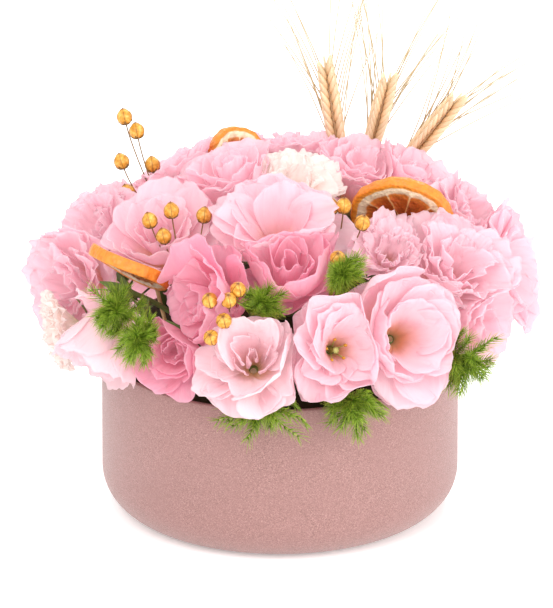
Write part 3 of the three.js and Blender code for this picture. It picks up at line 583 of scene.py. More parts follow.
# %% Soft walls between neighbours
SOFTNESS = 2.2  # how near to a wall the petals begin to give way, mm
NEAR = 16  # cells that are further than this from touching share no wall, mm
WAVINESS = 2.5  # how far the walls wave to either side, mm
LEANING = 0.35  # the most that a wall leans, as a slope
PLATE_SOFTNESS = 1.5  # the same as SOFTNESS beside an orange slice, mm
PLATE_GAP = 2.0  # petals stop this far from a slice, mm
PLATE_FADE = 8  # beyond the slice's rim its wall fades out over this, mm
BELOW_CENTRE = np.array([0, 0, DOME_CENTRE - 40.0])  # blooms face away from here

cells = [(bloom.heart, bloom.hold) for bloom in blooms]
cells += [(np.array(tuft[1:4], float), tuft[5] * 0.6) for tuft in TUFTS]
plates = [
    (np.array([x, y, z], float), facing(yaw, pitch), radius, half)
    for _, x, y, z, radius, half, yaw, pitch in SLICES
]


def walls_of(own):
    """The walls of a cell: direction, a point on the wall, and the other cell's number."""
    heart, hold = cells[own]
    found = []
    for other, (place, room) in enumerate(cells):
        between = place - heart
        distance = np.linalg.norm(between)
        if other == own or distance > hold + room + NEAR:
            continue
        share = np.clip(0.5 + (hold**2 - room**2) / (2 * distance**2), 0.25, 0.75)
        found.append((between / distance, heart + between * share, other))
    return found


def kept_behind(depth, softness):
    """A depth beyond a wall as a small one before it: -s·ln(1 + exp(-d/s))."""
    return -softness * np.logaddexp(0, -depth / softness)


def press(points, own):
    """Points of one cell pushed back behind all its walls, and away from the orange slices."""
    shape = points.shape
    points = points.reshape(-1, 3).copy()
    outward = unit(cells[own][0] - BELOW_CENTRE)
    for normal, place, other in walls_of(own):
        low, high = min(own, other), max(own, other)
        sign = 1 if own < other else -1
        wave = np.sin(points @ [0.13, 0.05, 0.11] + low) + np.sin(points @ [-0.07, 0.12, 0.09] + high)
        lean = LEANING * either_way(low, high) * ((points - place) @ outward)
        depth = (points - place) @ normal + sign * (WAVINESS * wave / 2 + lean)
        points += normal * (kept_behind(depth, SOFTNESS) - depth)[:, None]
    for place, normal, radius, half in plates:
        way = normal * (1 if (cells[own][0] - place) @ normal < 0 else -1)
        depth = (points - place) @ way + half + PLATE_GAP
        away = np.linalg.norm(points - place - ((points - place) @ way)[:, None] * way, axis=1)
        share = smooth((radius + PLATE_FADE - away) / PLATE_FADE)
        points += way * ((kept_behind(depth, PLATE_SOFTNESS) - depth) * share)[:, None]
    return points.reshape(shape)


print("walls round the first bloom:", len(walls_of(0)))

# %% [markdown]
# ## One petal as a formula
# Walk along the middle of a petal from its foot to its rim. At every step the petal leans away
# from the axis of the bloom by some angle: a few degrees at the foot, and from nothing, for a
# closed cup, to more than ninety, for a rim that rolls back. Adding up the small steps gives the
# side view. Across, the petal is an arc round the axis, so petals side by side make a cup. Waves
# are small changes of the lean that grow towards the rim, so the sheet bends as a real one does
# and is never stretched. The same few numbers make a rose-like heart and a wide open mouth.

# %% The petal
PETAL_THICKNESS = 0.35  # mm
PETAL_ROWS, PETAL_COLUMNS = 23, 25
ROOT_OUT, ROOT_UP = 3.0, 1.5  # where petals leave the base, mm from the axis and along it
FIELDS = ("turn", "width", "length", "lean", "rim_lean", "cup", "point", "sweep", "ruffle", "tone")


def petal_grids(bloom, table, frill, whorl):
    """The middle surfaces of some petals of a bloom, with their places and tones.

    A row of the table is one petal: its turn round the axis (0 is right and 90 is up, seen from
    the front), its width and length in mm, its lean at the foot and at the rim in degrees, cup
    (1 follows a circle round the axis, 0 is flat), point (0 round tip, 1 pointed), sweep (how
    far its rim is turned on, in degrees), ruffle in mm and tone. frill is the height of the small
    waves at the margin in mm. u runs across a petal from -1 to 1 and t along it.
    """
    table = np.array(table, float)
    f = {key: table[:, i][:, None, None] for i, key in enumerate(FIELDS)}
    k = np.arange(len(table)) + 61 * bloom.number + 17 * whorl

    def lot(number):
        return either_way(k, number)[:, None, None]

    def phase(number):
        return 2 * np.pi * chance(k, number)[:, None, None]

    u = np.linspace(-1, 1, PETAL_COLUMNS)[None, None, :]
    t = np.linspace(0, 1, PETAL_ROWS)[None, :, None]

    # The outline: v = t(1 - corner·|u|^power) rounds the corners off, and small sines nibble it.
    corner, power = 0.26 + 0.16 * f["point"] + 0.04 * lot(3), 2.6 - 1.5 * f["point"]
    nibbled = 0.010 * np.sin(21 * u + phase(1)) + 0.022 * np.sin(8 * u + phase(2))
    v = t * (1 - corner * np.abs(u) ** power + nibbled * t**5 * (1 - 0.7 * f["point"]))

    # The side view: the lean goes from foot to rim and waves by 3·ruffle/length·v². The steps of
    # length·(sin lean, cos lean) are added up.
    waves = np.sin(2.9 * u * (1 + 0.3 * lot(4)) + phase(5)) + 0.7 * np.sin(5.9 * u + 1.6 * t + phase(6))
    bends = 3 * f["ruffle"] / f["length"] * v**2 * waves
    lean = np.radians(f["lean"] + (f["rim_lean"] - f["lean"]) * v) + bends
    middle_lean = (lean[:, 1:] + lean[:, :-1]) / 2
    step = np.diff(v, axis=1) * f["length"]
    start = np.zeros_like(lean[:, :1])
    r = ROOT_OUT + np.concatenate([start, np.cumsum(np.sin(middle_lean) * step, axis=1)], axis=1)
    z = ROOT_UP + np.concatenate([start, np.cumsum(np.cos(middle_lean) * step, axis=1)], axis=1)

    # Across, the petal is an arc of radius 1/bow, and inward is how far it curls to the axis.
    across_mm = f["width"] / 2 * u * (0.12 + 0.88 * smooth(v / 0.66))
    bow = np.maximum(f["cup"], 0.02) / (np.abs(r) + 4)
    angle = np.clip(across_mm * bow, -2.6, 2.6)
    aside = np.sin(angle) / bow
    inward = (1 - np.cos(angle)) / bow

    # One edge lies inside its neighbour and the other outside. Soft dents cover the sheet, and
    # a frill runs along the margin.
    sheet = smooth(2.5 * v)
    edge = np.abs(u) + 0.0 * t
    margin = smooth((np.maximum(t, edge * t**0.4) - 0.70) / 0.30)
    inward = inward + 1.3 * u * sheet
    inward = inward + 0.8 * sheet * np.sin(7 * u + 5 * v + phase(10)) * np.sin(9 * v - 3 * u + phase(11))
    inward = inward + frill * margin * (
        np.sin(13 * u + 4 * (1 - t) + phase(7)) + 0.6 * np.sin(24 * u - 7 * t + phase(8)))

    turn = np.radians(f["turn"] + f["sweep"] * v**2)
    out = bloom.side * np.cos(turn)[..., None] + bloom.up * np.sin(turn)[..., None]
    along = np.cross(bloom.axis, out)
    grid = (
        bloom.base
        + out * (r - np.cos(lean) * inward)[..., None]
        + bloom.axis * (z + np.sin(lean) * inward)[..., None]
        + along * aside[..., None]
    )
    tone = f["tone"] + 0.06 * lot(9) - 0.15 * margin
    place = np.stack(np.broadcast_arrays(u / 2 + 0.5, t), -1)
    return grid, place, np.clip(tone, 0, 1)


# %% [markdown]
# ## Whorls, and the blooms that are told petal by petal
# Most blooms are whorls by rule: each kind lists its whorls from the outside in, with sizes as
# shares of the radius of the bloom. The blooms in front are so open that each petal is seen by
# itself, and those are told petal by petal.

# %% Whorls by rule
KINDS = {
    # count, width, length, lean, rim lean, cup, ruffle
    "open": [
        (4, 1.25, 1.22, 48, 108, 0.8, 0.070), (4, 1.25, 1.26, 22, 92, 1.0, 0.075),
        (4, 1.15, 1.20, 18, 76, 1.0, 0.080), (4, 1.00, 1.08, 14, 58, 1.0, 0.085),
    ],
    "loose": [
        (4, 1.25, 1.20, 48, 108, 0.8, 0.065), (4, 1.30, 1.25, 24, 86, 1.0, 0.070),
        (4, 1.20, 1.20, 18, 66, 1.0, 0.075), (4, 1.00, 1.12, 14, 40, 1.0, 0.080),
        (3, 0.80, 1.02, 8, 14, 1.0, 0.080),
    ],
    "double": [
        (5, 1.15, 1.24, 28, 100, 1.0, 0.060), (5, 1.05, 1.20, 24, 84, 1.0, 0.070),
        (5, 0.95, 1.14, 18, 68, 1.0, 0.080), (5, 0.80, 1.08, 12, 48, 1.0, 0.085),
        (4, 0.65, 1.00, 6, 26, 1.0, 0.080),
    ],
    "bud": [
        (4, 1.40, 1.30, 48, 30, 1.0, 0.040), (3, 1.30, 1.22, 40, 14, 1.0, 0.040),
        (3, 1.10, 1.12, 30, 4, 1.0, 0.035), (3, 0.80, 1.02, 18, 0, 1.0, 0.030),
        (2, 0.60, 0.96, 8, 2, 1.0, 0.030),
    ],
}
COLLAR = (5, 1.15, 0.84, 60, 100, 0.8, 0.050)  # the opened outer petals behind a told bloom
COLLAR_ORDER = 9  # it draws its chances as the tenth whorl would
GOLDEN = 137.5  # degrees from one whorl to the next
FULLNESS = 1.14  # the living bloom is a little fuller than its CAD solid


def whorl_table(bloom, order, whorl):
    """Rows for petal_grids: equal turns, each number made a little uneven by steady chance."""
    count, width, length, lean, rim_lean, cup, ruffle = whorl
    k = np.arange(count) + 10 * order + 61 * bloom.number

    def lot(number):
        return either_way(k, number)

    reach = bloom.radius * FULLNESS
    turn = 360 * (np.arange(count) + 0.18 * lot(20)) / count
    return np.stack([
        turn + GOLDEN * order + 360 * chance(bloom.number, 3),
        width * reach * (1 + 0.10 * lot(21)),
        length * reach * (1 + 0.07 * lot(22)),
        lean + 4 * lot(23),
        rim_lean + 12 * lot(24),
        cup * (1 + 0.2 * lot(25)),
        0.5 * chance(k, 26) ** 2,
        12 * lot(27),
        ruffle * bloom.radius * (1 + 0.4 * lot(28)),
        bloom.tone + 0.12 * lot(29) + 0.06 * order,
    ], axis=-1)


print("kinds of bloom:", *KINDS)

# %% Blooms told petal by petal
TOLD = {
    # turn, width, length, lean, rim lean, cup, point, sweep, ruffle, tone
    "front_right": [
        (112, 72, 80, 50, 54, 0.35, 0.2, 0, 0.8, 0.25),
        (136, 60, 60, 60, 40, 0.7, 0.0, 0, 0.6, 0.25),
        (174, 60, 54, 66, -22, 0.9, 0.0, 0, 0.6, 0.25),
        (214, 60, 56, 62, -8, 0.9, 0.0, 0, 0.6, 0.25),
        (258, 62, 54, 30, 88, 0.7, 0.0, 0, 1.0, 0.15),
        (300, 62, 54, 28, 80, 0.7, 0.0, 0, 1.2, 0.15),
        (345, 58, 50, 18, 62, 0.9, 0.0, 0, 1.4, 0.15),
        (25, 58, 52, 18, 62, 0.9, 0.0, 0, 1.6, 0.15),
        (62, 62, 52, 22, 66, 0.8, 0.0, 0, 1.2, 0.10),
        (98, 60, 49, 24, 58, 0.8, 0.0, 0, 0.8, 0.10),
        (150, 48, 50, 40, 0, 1.0, 0.0, 0, 0.5, 0.15),
        (240, 48, 46, 26, 50, 1.0, 0.0, 0, 0.5, 0.10),
        (318, 60, 46, 14, 48, 1.0, 0.0, 0, 0.6, 0.00),
        (45, 60, 46, 12, 44, 1.0, 0.0, 0, 0.6, 0.05),
    ],
    "front_mid": [
        (92, 58, 56, 22, 76, 0.9, 0.0, 0, 3.2, 0.35),
        (48, 54, 50, 20, 76, 0.9, 0.0, 0, 3.6, 0.35),
        (4, 54, 51, 18, 70, 0.9, 0.0, 0, 3.8, 0.30),
        (318, 52, 47, 22, 78, 0.9, 0.0, 0, 3.6, 0.30),
        (262, 34, 64, 52, 82, 0.9, 1.0, 0, 0.6, 0.50),
        (288, 54, 50, 34, 88, 0.9, 0.1, 0, 3.2, 0.35),
        (232, 48, 42, 36, 88, 0.9, 0.1, 0, 3.2, 0.35),
        (186, 46, 36, 22, 66, 0.9, 0.0, 0, 3.2, 0.30),
        (140, 52, 48, 22, 66, 0.9, 0.0, 0, 2.2, 0.35),
        (110, 48, 48, 16, 56, 1.0, 0.0, 0, 2.0, 0.20),
        (66, 48, 46, 14, 56, 1.0, 0.0, 0, 3.2, 0.15),
        (22, 46, 42, 14, 54, 1.0, 0.0, 0, 3.2, 0.15),
        (338, 44, 40, 16, 56, 1.0, 0.0, 0, 3.2, 0.15),
        (256, 28, 32, 18, 56, 1.3, 0.3, 0, 2.6, 0.30),
        (218, 26, 30, 16, 50, 1.3, 0.4, 0, 2.6, 0.35),
        (160, 40, 40, 14, 44, 1.0, 0.1, 0, 2.0, 0.20),
    ],
    "front_centre": [
        (262, 60, 33, 64, 100, 0.6, 0.0, 0, 1.2, 0.00),
        (308, 60, 38, 62, 92, 0.7, 0.0, 0, 1.4, 0.00),
        (208, 40, 44, 64, 84, 0.9, 0.9, 0, 1.4, 0.05),
        (178, 42, 40, 44, 78, 1.1, 0.3, 0, 2.6, 0.05),
        (345, 44, 40, 50, 80, 0.9, 0.3, 0, 2.6, 0.10),
        (318, 70, 48, 58, 4, 0.5, 0.0, 8, 1.8, 0.00),
        (240, 46, 36, 54, 34, 1.0, 0.1, 0, 2.4, 0.00),
        (112, 58, 50, 8, 22, 0.8, -0.3, 0, 2.4, 0.45),
        (37, 34, 54, 34, 60, 1.4, 1.0, 0, 1.2, 0.25),
        (64, 36, 48, 30, 44, 1.3, 0.7, 0, 1.6, 0.40),
        (150, 40, 42, 26, 48, 1.2, 0.3, 0, 2.6, 0.25),
        (15, 34, 42, 34, 50, 1.2, 0.7, 0, 1.8, 0.20),
        (128, 34, 42, 20, -2, 1.4, 0.5, 30, 2.6, 0.60),
        (58, 30, 40, 26, 6, 1.6, 0.8, -20, 2.2, 0.65),
        (350, 28, 30, 38, 6, 1.4, 0.6, 30, 2.0, 0.50),
        (205, 30, 30, 40, 8, 1.3, 0.5, -30, 2.2, 0.40),
        (90, 22, 30, 8, -20, 1.8, 0.6, 40, 1.8, 0.80),
    ],
    "centre_deep": [
        (306, 70, 54, 58, -10, 0.8, 0.0, 0, 1.6, 0.55),
        (222, 50, 50, 54, 6, 0.9, 0.2, 0, 4.2, 0.60),
        (262, 44, 44, 52, 10, 1.0, 0.3, 0, 3.8, 0.65),
        (184, 46, 48, 46, 44, 0.9, 0.2, 0, 4.4, 0.45),
        (350, 48, 50, 44, 40, 0.9, 0.1, 0, 4.4, 0.50),
        (30, 48, 52, 38, 58, 1.0, 0.0, 0, 4.4, 0.35),
        (150, 50, 48, 34, 50, 0.9, 0.1, 0, 4.4, 0.35),
        (112, 54, 46, 26, 46, 0.9, 0.0, 0, 3.8, 0.30),
        (68, 54, 46, 24, 46, 0.9, 0.0, 0, 4.0, 0.35),
        (325, 34, 44, 36, -6, 1.4, 0.2, 0, 3.2, 0.75),
        (45, 36, 42, 18, 14, 1.4, 0.2, 20, 3.2, 0.70),
        (140, 36, 42, 20, 12, 1.4, 0.2, -20, 3.2, 0.75),
        (240, 30, 40, 26, -8, 1.4, 0.2, 20, 1.8, 0.85),
        (90, 30, 40, 10, -6, 1.6, 0.2, 30, 1.4, 0.90),
    ],
    "left_deep": [
        (48, 66, 56, 46, 34, 0.7, -0.2, 0, 1.2, 0.45),
        (96, 62, 54, 34, 62, 0.8, -0.1, 0, 2.0, 0.40),
        (150, 50, 46, 40, 80, 0.9, 0.0, 0, 3.4, 0.50),
        (200, 48, 46, 40, 76, 1.0, 0.1, 0, 3.4, 0.55),
        (250, 48, 46, 44, 64, 1.0, 0.1, 0, 2.8, 0.60),
        (300, 52, 48, 52, 14, 0.9, 0.0, 0, 2.0, 0.55),
        (2, 54, 52, 56, -4, 0.9, 0.0, 0, 1.6, 0.60),
        (126, 44, 42, 22, 50, 1.3, 0.1, 0, 2.8, 0.60),
        (182, 40, 42, 24, 46, 1.5, 0.1, 20, 2.8, 0.70),
        (240, 38, 40, 24, 30, 1.5, 0.1, 20, 2.4, 0.80),
        (320, 38, 42, 26, -4, 1.4, 0.1, 20, 1.8, 0.80),
        (40, 40, 44, 20, 10, 1.3, 0.1, 0, 1.8, 0.65),
        (160, 28, 34, 10, 12, 1.6, 0.1, 30, 1.8, 0.95),
        (280, 28, 34, 10, 0, 1.6, 0.1, 30, 1.8, 0.95),
    ],
    "upper_left": [
        (228, 68, 44, 68, 14, 0.8, 0.0, 0, 0.8, 0.10),
        (172, 54, 42, 44, 76, 0.9, 0.0, 0, 3.0, 0.25),
        (132, 54, 46, 34, 66, 0.9, 0.0, 0, 3.2, 0.30),
        (88, 56, 52, 32, 66, 0.9, 0.0, 0, 3.0, 0.30),
        (42, 54, 52, 34, 70, 0.9, 0.0, 0, 2.6, 0.30),
        (350, 42, 54, 50, 80, 1.1, 0.5, 0, 1.6, 0.35),
        (306, 46, 44, 54, 50, 1.1, 0.2, 0, 1.8, 0.35),
        (265, 44, 42, 50, 14, 1.0, 0.0, 0, 1.4, 0.40),
        (150, 42, 42, 24, 36, 1.2, 0.0, 0, 2.4, 0.55),
        (70, 44, 44, 20, 38, 1.2, 0.0, 0, 2.4, 0.50),
        (10, 40, 42, 24, 34, 1.2, 0.0, 0, 2.0, 0.65),
        (200, 30, 36, 26, 10, 1.5, 0.2, 0, 1.4, 0.95),
        (300, 30, 36, 22, 12, 1.5, 0.2, 20, 1.4, 0.95),
        (110, 28, 34, 10, 10, 1.5, 0.2, 30, 1.4, 0.90),
    ],
    "left_front": [
        (95, 50, 52, 40, 14, 0.9, 0.0, 0, 0.8, 0.15),
        (30, 50, 56, 38, 10, 0.9, 0.0, 0, 0.8, 0.30),
        (150, 50, 56, 40, 12, 0.9, 0.0, 0, 1.0, 0.00),
        (210, 50, 54, 36, 24, 0.9, 0.1, 0, 1.2, 0.05),
        (268, 48, 60, 36, 14, 0.9, 0.1, 0, 1.0, 0.20),
        (325, 50, 56, 38, 20, 0.9, 0.0, 0, 1.0, 0.35),
        (60, 40, 50, 26, 6, 1.0, 0.0, 0, 1.2, 0.40),
        (130, 40, 52, 26, 10, 1.0, 0.0, 0, 1.2, 0.30),
        (190, 38, 52, 24, 12, 1.0, 0.0, 0, 1.2, 0.30),
        (250, 38, 54, 24, 12, 1.0, 0.0, 0, 1.2, 0.40),
        (310, 38, 52, 24, 8, 1.0, 0.0, 0, 1.2, 0.45),
    ],
}

# %% The base of a bloom, and its stamens
def bloom_base(tray, bloom):
    """An egg between the feet of the petals, in their colour: the radius goes with √(1.02 - t²)."""
    t = np.linspace(-1, 1, 7)[None, :, None]
    path = bloom.base + bloom.axis * (0.1 + 1.2 * t)
    tubes(tray, path, 3.1 * np.sqrt(1.02 - t[..., 0] ** 2), 12, bloom.tone)
    tray.places[-1] = tray.places[-1] * [1, 0.15] + [0, 0.05]


def stamens(tray, bloom):
    """Five filaments with an anther on each, round a pistil with a swollen tip."""
    turn = np.radians(72 * np.arange(5) + 20)[:, None, None]
    t = np.linspace(0, 1, 8)[None, :, None]
    out = bloom.side * np.cos(turn) + bloom.up * np.sin(turn)
    filaments = bloom.base + bloom.axis * (4 + t * bloom.depth * 0.24) + out * (2 + 5 * t**1.5)
    tubes(tray, filaments, 0.4, 5, 0.6, 2)
    t = np.linspace(-1, 1, 6)[None, :, None]
    anthers = filaments[:, -1:] + bloom.axis * t * 2.8
    tubes(tray, anthers, 1.1 * np.sqrt(1.02 - t[..., 0] ** 2), 6, 0.7, 1)
    t = np.linspace(0, 1, 9)[None, :, None]
    swell = 2.2 - 1.2 * smooth(t[..., 0] * 2) + 1.2 * smooth(t[..., 0] * 5 - 4)
    tubes(tray, bloom.base + bloom.axis * (3 + t * bloom.depth * 0.26), swell, 8, 0.6, 2)


# %% Cast every bloom
PETALS = {
    "left_low": cream_petal, "white_top": cream_petal, "front_centre": blush_petal,
    "left_front": blush_petal, "centre_deep": deep_petal, "left_deep": deep_petal,
    "front_bud": deep_petal,
}
THROATED = ("front_mid", "centre_open")  # their throats are open
FRILLS = {"open": 1.0, "loose": 1.0, "double": 1.6, "bud": 0.5}  # mm

for bloom in blooms:
    tray = Tray()
    if bloom.name in TOLD:
        whorls = [whorl_table(bloom, COLLAR_ORDER, COLLAR), TOLD[bloom.name]]
    else:
        whorls = [whorl_table(bloom, order, whorl) for order, whorl in enumerate(KINDS[bloom.kind])]
    for order, table in enumerate(whorls):
        grids, place, tone = petal_grids(bloom, table, FRILLS[bloom.kind], order)
        sheets(tray, press(grids, bloom.number), place, tone, PETAL_THICKNESS)
    bloom_base(tray, bloom)
    if bloom.name in THROATED:
        stamens(tray, bloom)
    materials = [PETALS.get(bloom.name, pink_petal), anther_yellow, pistil_green]
    tray.cast(f"bloom_{bloom.name}_petals", materials, [f"bloom_{bloom.name}"])

# %% [markdown]
# ## Stems, sepals and leaves
# Under each bloom is a cup of five narrow sepals on a stem that goes down into the foam. Two
# pairs of grey-green leaves on each stem fill the space below the petals.

# %% Stalks
STEM_END = np.array([0, 0, 96.0])  # the stems point to here, inside the foam
LEAF_ROWS, LEAF_COLUMNS = 14, 7
LEAF_THICKNESS = 0.4  # mm
LEAF_PLACE = np.stack(np.meshgrid(np.linspace(0, 1, LEAF_COLUMNS), np.linspace(0, 1, LEAF_ROWS)), -1)


def leaf_grid(foot, along, out, length, width, bend):
    """A leaf: u across and t along it; its half width is width·sin(pi·t^0.8), and it arches out."""
    u = np.linspace(-1, 1, LEAF_COLUMNS)[None, :, None]
    t = np.linspace(0, 1, LEAF_ROWS)[:, None, None]
    flat = np.cross(out, along)
    half = width * np.sin(np.pi * t**0.8) + 0.3
    arch = bend * t * t - 0.12 * width * (1 - u * u)
    return foot + along * t * length + out * arch + flat * u * half


def stem(tray, bloom):
    """A curve from inside the foam to the bloom's base, thicker under the bloom."""
    foot = STEM_END + (bloom.base - STEM_END) * 0.45
    t = np.linspace(0, 1, 10)[None, :, None]
    under, base = bloom.base - bloom.axis * 12, bloom.base + bloom.axis * 1
    curve = bezier([foot, foot + (bloom.base - foot) * 0.4, under, base], t)
    tubes(tray, curve, 1.7 + 1.6 * smooth(t[..., 0] * 4 - 3), 8, 0.5)
    return curve[0]


def sepals(tray, bloom):
    """Five narrow sepals spread under the petals."""
    for turn in np.radians(72 * np.arange(5)):
        out = bloom.side * math.cos(turn) + bloom.up * math.sin(turn)
        foot = bloom.base + out * 3 - bloom.axis * 2
        grid = leaf_grid(foot, unit(out + 0.12 * bloom.axis), bloom.axis, 18, 2.0, 4)
        sheets(tray, grid[None], LEAF_PLACE, 0.5, LEAF_THICKNESS)


def leaves(tray, bloom, curve):
    """Two pairs of leaves on the stem; the leaves of a pair are half a turn apart."""
    for pair in (0, 1):
        foot = curve[3 + 3 * pair]
        along = unit(curve[4 + 3 * pair] - foot)
        first = 6.28 * chance(bloom.number, 20 + pair)
        for turn in (first, first + math.pi):
            out = bloom.side * math.cos(turn) + bloom.up * math.sin(turn)
            grid = leaf_grid(foot, unit(out + 0.5 * along), along, 24, 6.0, 6)
            sheets(tray, press(grid[None], bloom.number), LEAF_PLACE, 0.35, LEAF_THICKNESS)


for bloom in blooms:
    tray = Tray()
    curve = stem(tray, bloom)
    sepals(tray, bloom)
    leaves(tray, bloom, curve)
    tray.cast(f"bloom_{bloom.name}_stalk", [stem_green])

# %% [markdown]
# ## Green tufts
# The green is a fern-like foliage with hundreds of thin soft needles. They stand in rings along
# short twigs, lean forward and are lighter towards their tips.

# %% Twigs of a tuft
TWIGS, RINGS, RING_NEEDLES = 24, 9, 7
RING_SHARES = np.linspace(0, 1, RINGS + 1)  # where the rings are along a twig
TWIG_RADIUS, NEEDLE_RADIUS, TUFT_STALK_RADIUS = 0.45, 0.28, 1.3  # mm
TWIG_SAG, NEEDLE_SAG = np.array([0, 0, -0.18]), np.array([0, 0, -0.05])
GOLDEN_TURN = 2.39996  # the golden angle in radians
WIDE = {"front": 1.8, "front_right": 1.3}  # these lie along the rim, and are wider than high


def twig_directions(axis):
    """Directions spread evenly over the cap round an axis, by the golden angle."""
    side, up = across(axis)
    k = np.arange(TWIGS)
    high = 1 - 1.35 * (k + 0.5) / TWIGS
    turn = k * GOLDEN_TURN
    level = np.sqrt(1 - high**2)
    round_it = side * (level * np.cos(turn))[:, None] + up * (level * np.sin(turn))[:, None]
    return axis * high[:, None] + round_it


def twigs_of(number, name, middle, axis, reach):
    """Twigs of uneven length that sag with the square of the way along them."""
    k = np.arange(TWIGS)
    jitter = np.stack([either_way(k, number + 10 * i) for i in range(3)], -1)
    ways = unit(twig_directions(axis) + 0.35 * jitter)
    size = (0.55 + 0.6 * chance(k, number))[:, None, None]
    along_stalk = axis * (0.30 * reach * either_way(k, number + 40))[:, None]
    sag = (TWIG_SAG + 0.25 * jitter[:, None, ::-1]) * (RING_SHARES**2)[:, None]
    spray = ways[:, None] * RING_SHARES[:, None] + sag
    return middle + along_stalk[:, None] + reach * 0.78 * size * spray * [WIDE.get(name, 1.0), 1, 1]


# %% Needles and stalk of a tuft
FOOT_HEIGHT = 84  # where tufts, ears and picks end in the foam, mm
LOW_TUFT = 160  # tufts lower than this stand nearer to the wall of the pot, mm


def needles(tray, twigs, own):
    """Needles start in rings on the twigs and lean forward, more so near the tip."""
    starts = twigs[:, 1:]
    heading = unit(starts - twigs[:, :-1])
    ids = np.arange(TWIGS * RINGS * RING_NEEDLES).reshape(TWIGS, RINGS, RING_NEEDLES)
    turn = 2 * np.pi * (np.arange(RING_NEEDLES) + chance(ids, 5)) / RING_NEEDLES
    helper = np.where(np.abs(heading[..., 2:]) < 0.8, [0.0, 0, 1], [0.0, 1, 0])
    side = unit(np.cross(helper, heading))
    up = np.cross(heading, side)
    out = side[:, :, None] * np.cos(turn)[..., None] + up[:, :, None] * np.sin(turn)[..., None]
    way = unit(out + heading[:, :, None] * (0.55 + 0.6 * RING_SHARES[1:, None, None]))
    length = (5.0 + 4.0 * chance(ids, 6))[..., None]
    bend = (heading[:, :, None] * 0.25 + NEEDLE_SAG) * length
    starts = starts[:, :, None] + np.zeros_like(out)
    starts, reach, bend = [a.reshape(-1, 1, 3) for a in (starts, way * length, bend)]
    s = np.linspace(0, 1, 4)[None, :, None]
    paths = press(starts + reach * s + bend * s**2, own)
    tubes(tray, paths, NEEDLE_RADIUS * (1 - 0.85 * s[..., 0] ** 2), 3, 0.2 + 0.8 * chance(ids, 7))


def tuft_stalk(tray, middle, axis, aside):
    """A stalk from the foam to the heart of a tuft, which comes in along the tuft's axis."""
    turn = math.atan2(middle[0], -middle[1]) + math.radians(aside)
    out = 102 if middle[2] < LOW_TUFT else 84
    foot = np.array([out * math.sin(turn), -out * math.cos(turn), FOOT_HEIGHT])
    t = np.linspace(0, 1, 10)[None, :, None]
    pull = 0.4 * np.linalg.norm(middle - foot)
    stalk = bezier([foot, foot + [0, 0, pull], middle - axis * pull, middle], t)
    tubes(tray, stalk, TUFT_STALK_RADIUS, 6, 0.3)


for number, (name, x, y, z, _, reach, yaw, pitch, aside) in enumerate(TUFTS):
    tray = Tray()
    own = len(blooms) + number
    middle, axis = np.array([x, y, z], float), facing(yaw, pitch)
    twigs = press(twigs_of(number, name, middle, axis, reach), own)
    tubes(tray, twigs, TWIG_RADIUS, 4, 0.35)
    needles(tray, twigs, own)
    tuft_stalk(tray, middle, axis, aside)
    tray.cast(f"tuft_{name}_needles", [fern_green], [f"tuft_{name}"])

# %% [markdown]
# ## Wheat
# An ear carries two rows of spikelets, left and right of a flat stalk. Each spikelet is a fan of
# pointed husks round its grains, and from each husk a stiff bristle, the awn, runs far beyond
# the tip of the ear.

# %% Husks and awns
HUSK_PAIRS, HUSK_LENGTH, HUSK_WIDTH = 10, 15, 4.8
AWN_LENGTH, AWN_RADIUS = 124, 0.38
STRAW_RADIUS, STRAW_FOOT_OUT = 1.4, 64


def husks(tray, centres, ways, sides, tone):
    """Pointed husks: the radius along one is sin(pi·s^0.75)^0.85, narrower one way, with a keel."""
    s = np.linspace(0.04, 0.97, 9)[None, :, None]
    turn = 2 * np.pi * np.arange(10) / 10
    fat = np.sin(np.pi * s**0.75) ** 0.85 * HUSK_WIDTH / 2
    keel = 1 + 0.18 * np.maximum(0, np.cos(turn)) ** 6
    ups = np.cross(ways, sides)
    spot = centres[:, None] + ways[:, None] * (s - 0.5) * HUSK_LENGTH
    ring = sides[:, None, None] * (0.8 * np.cos(turn) * keel)[:, None]
    ring = ring + ups[:, None, None] * np.sin(turn)[:, None]
    rings = spot[:, :, None] + ring * fat[..., None]
    ends = ways * HUSK_LENGTH / 2
    skins(tray, rings, centres - ends, centres + ends, tone)


def awns(tray, tips, forward, aside, deep, share, seeds):
    """A bristle from each tip, shorter up the ear, which leans to its own side and curls a little."""
    k = np.arange(len(tips))
    lean = aside * (0.10 + 0.34 * chance(k, seeds[0] + 1))[:, None]
    head = unit(forward + lean + deep * (0.35 * either_way(k, seeds[1] + 1))[:, None])
    reach = (AWN_LENGTH * (0.60 + 0.40 * chance(k, 4)) * (1.0 - 0.36 * share))[:, None, None]
    s = np.linspace(0, 1, 8)[None, :, None]
    curl = aside * (0.04 + 0.05 * chance(k, 9))[:, None]
    paths = tips[:, None] + head[:, None] * reach * s + curl[:, None] * reach * s**2
    tubes(tray, paths, AWN_RADIUS * (1 - 0.4 * s[..., 0]), 4, 0.6 + 0.3 * chance(k, 4), 1)


# %% Ears of wheat
EARS = [
    # name, base of the ear x, y, z, then its yaw and pitch, length, width
    ("left", 39, 78, 208, 250, 81, 74, 9.5),
    ("mid", 59, 84, 212, 75, 76, 60, 10),
    ("right", 82, 76, 206, 80, 54, 66, 11),
]

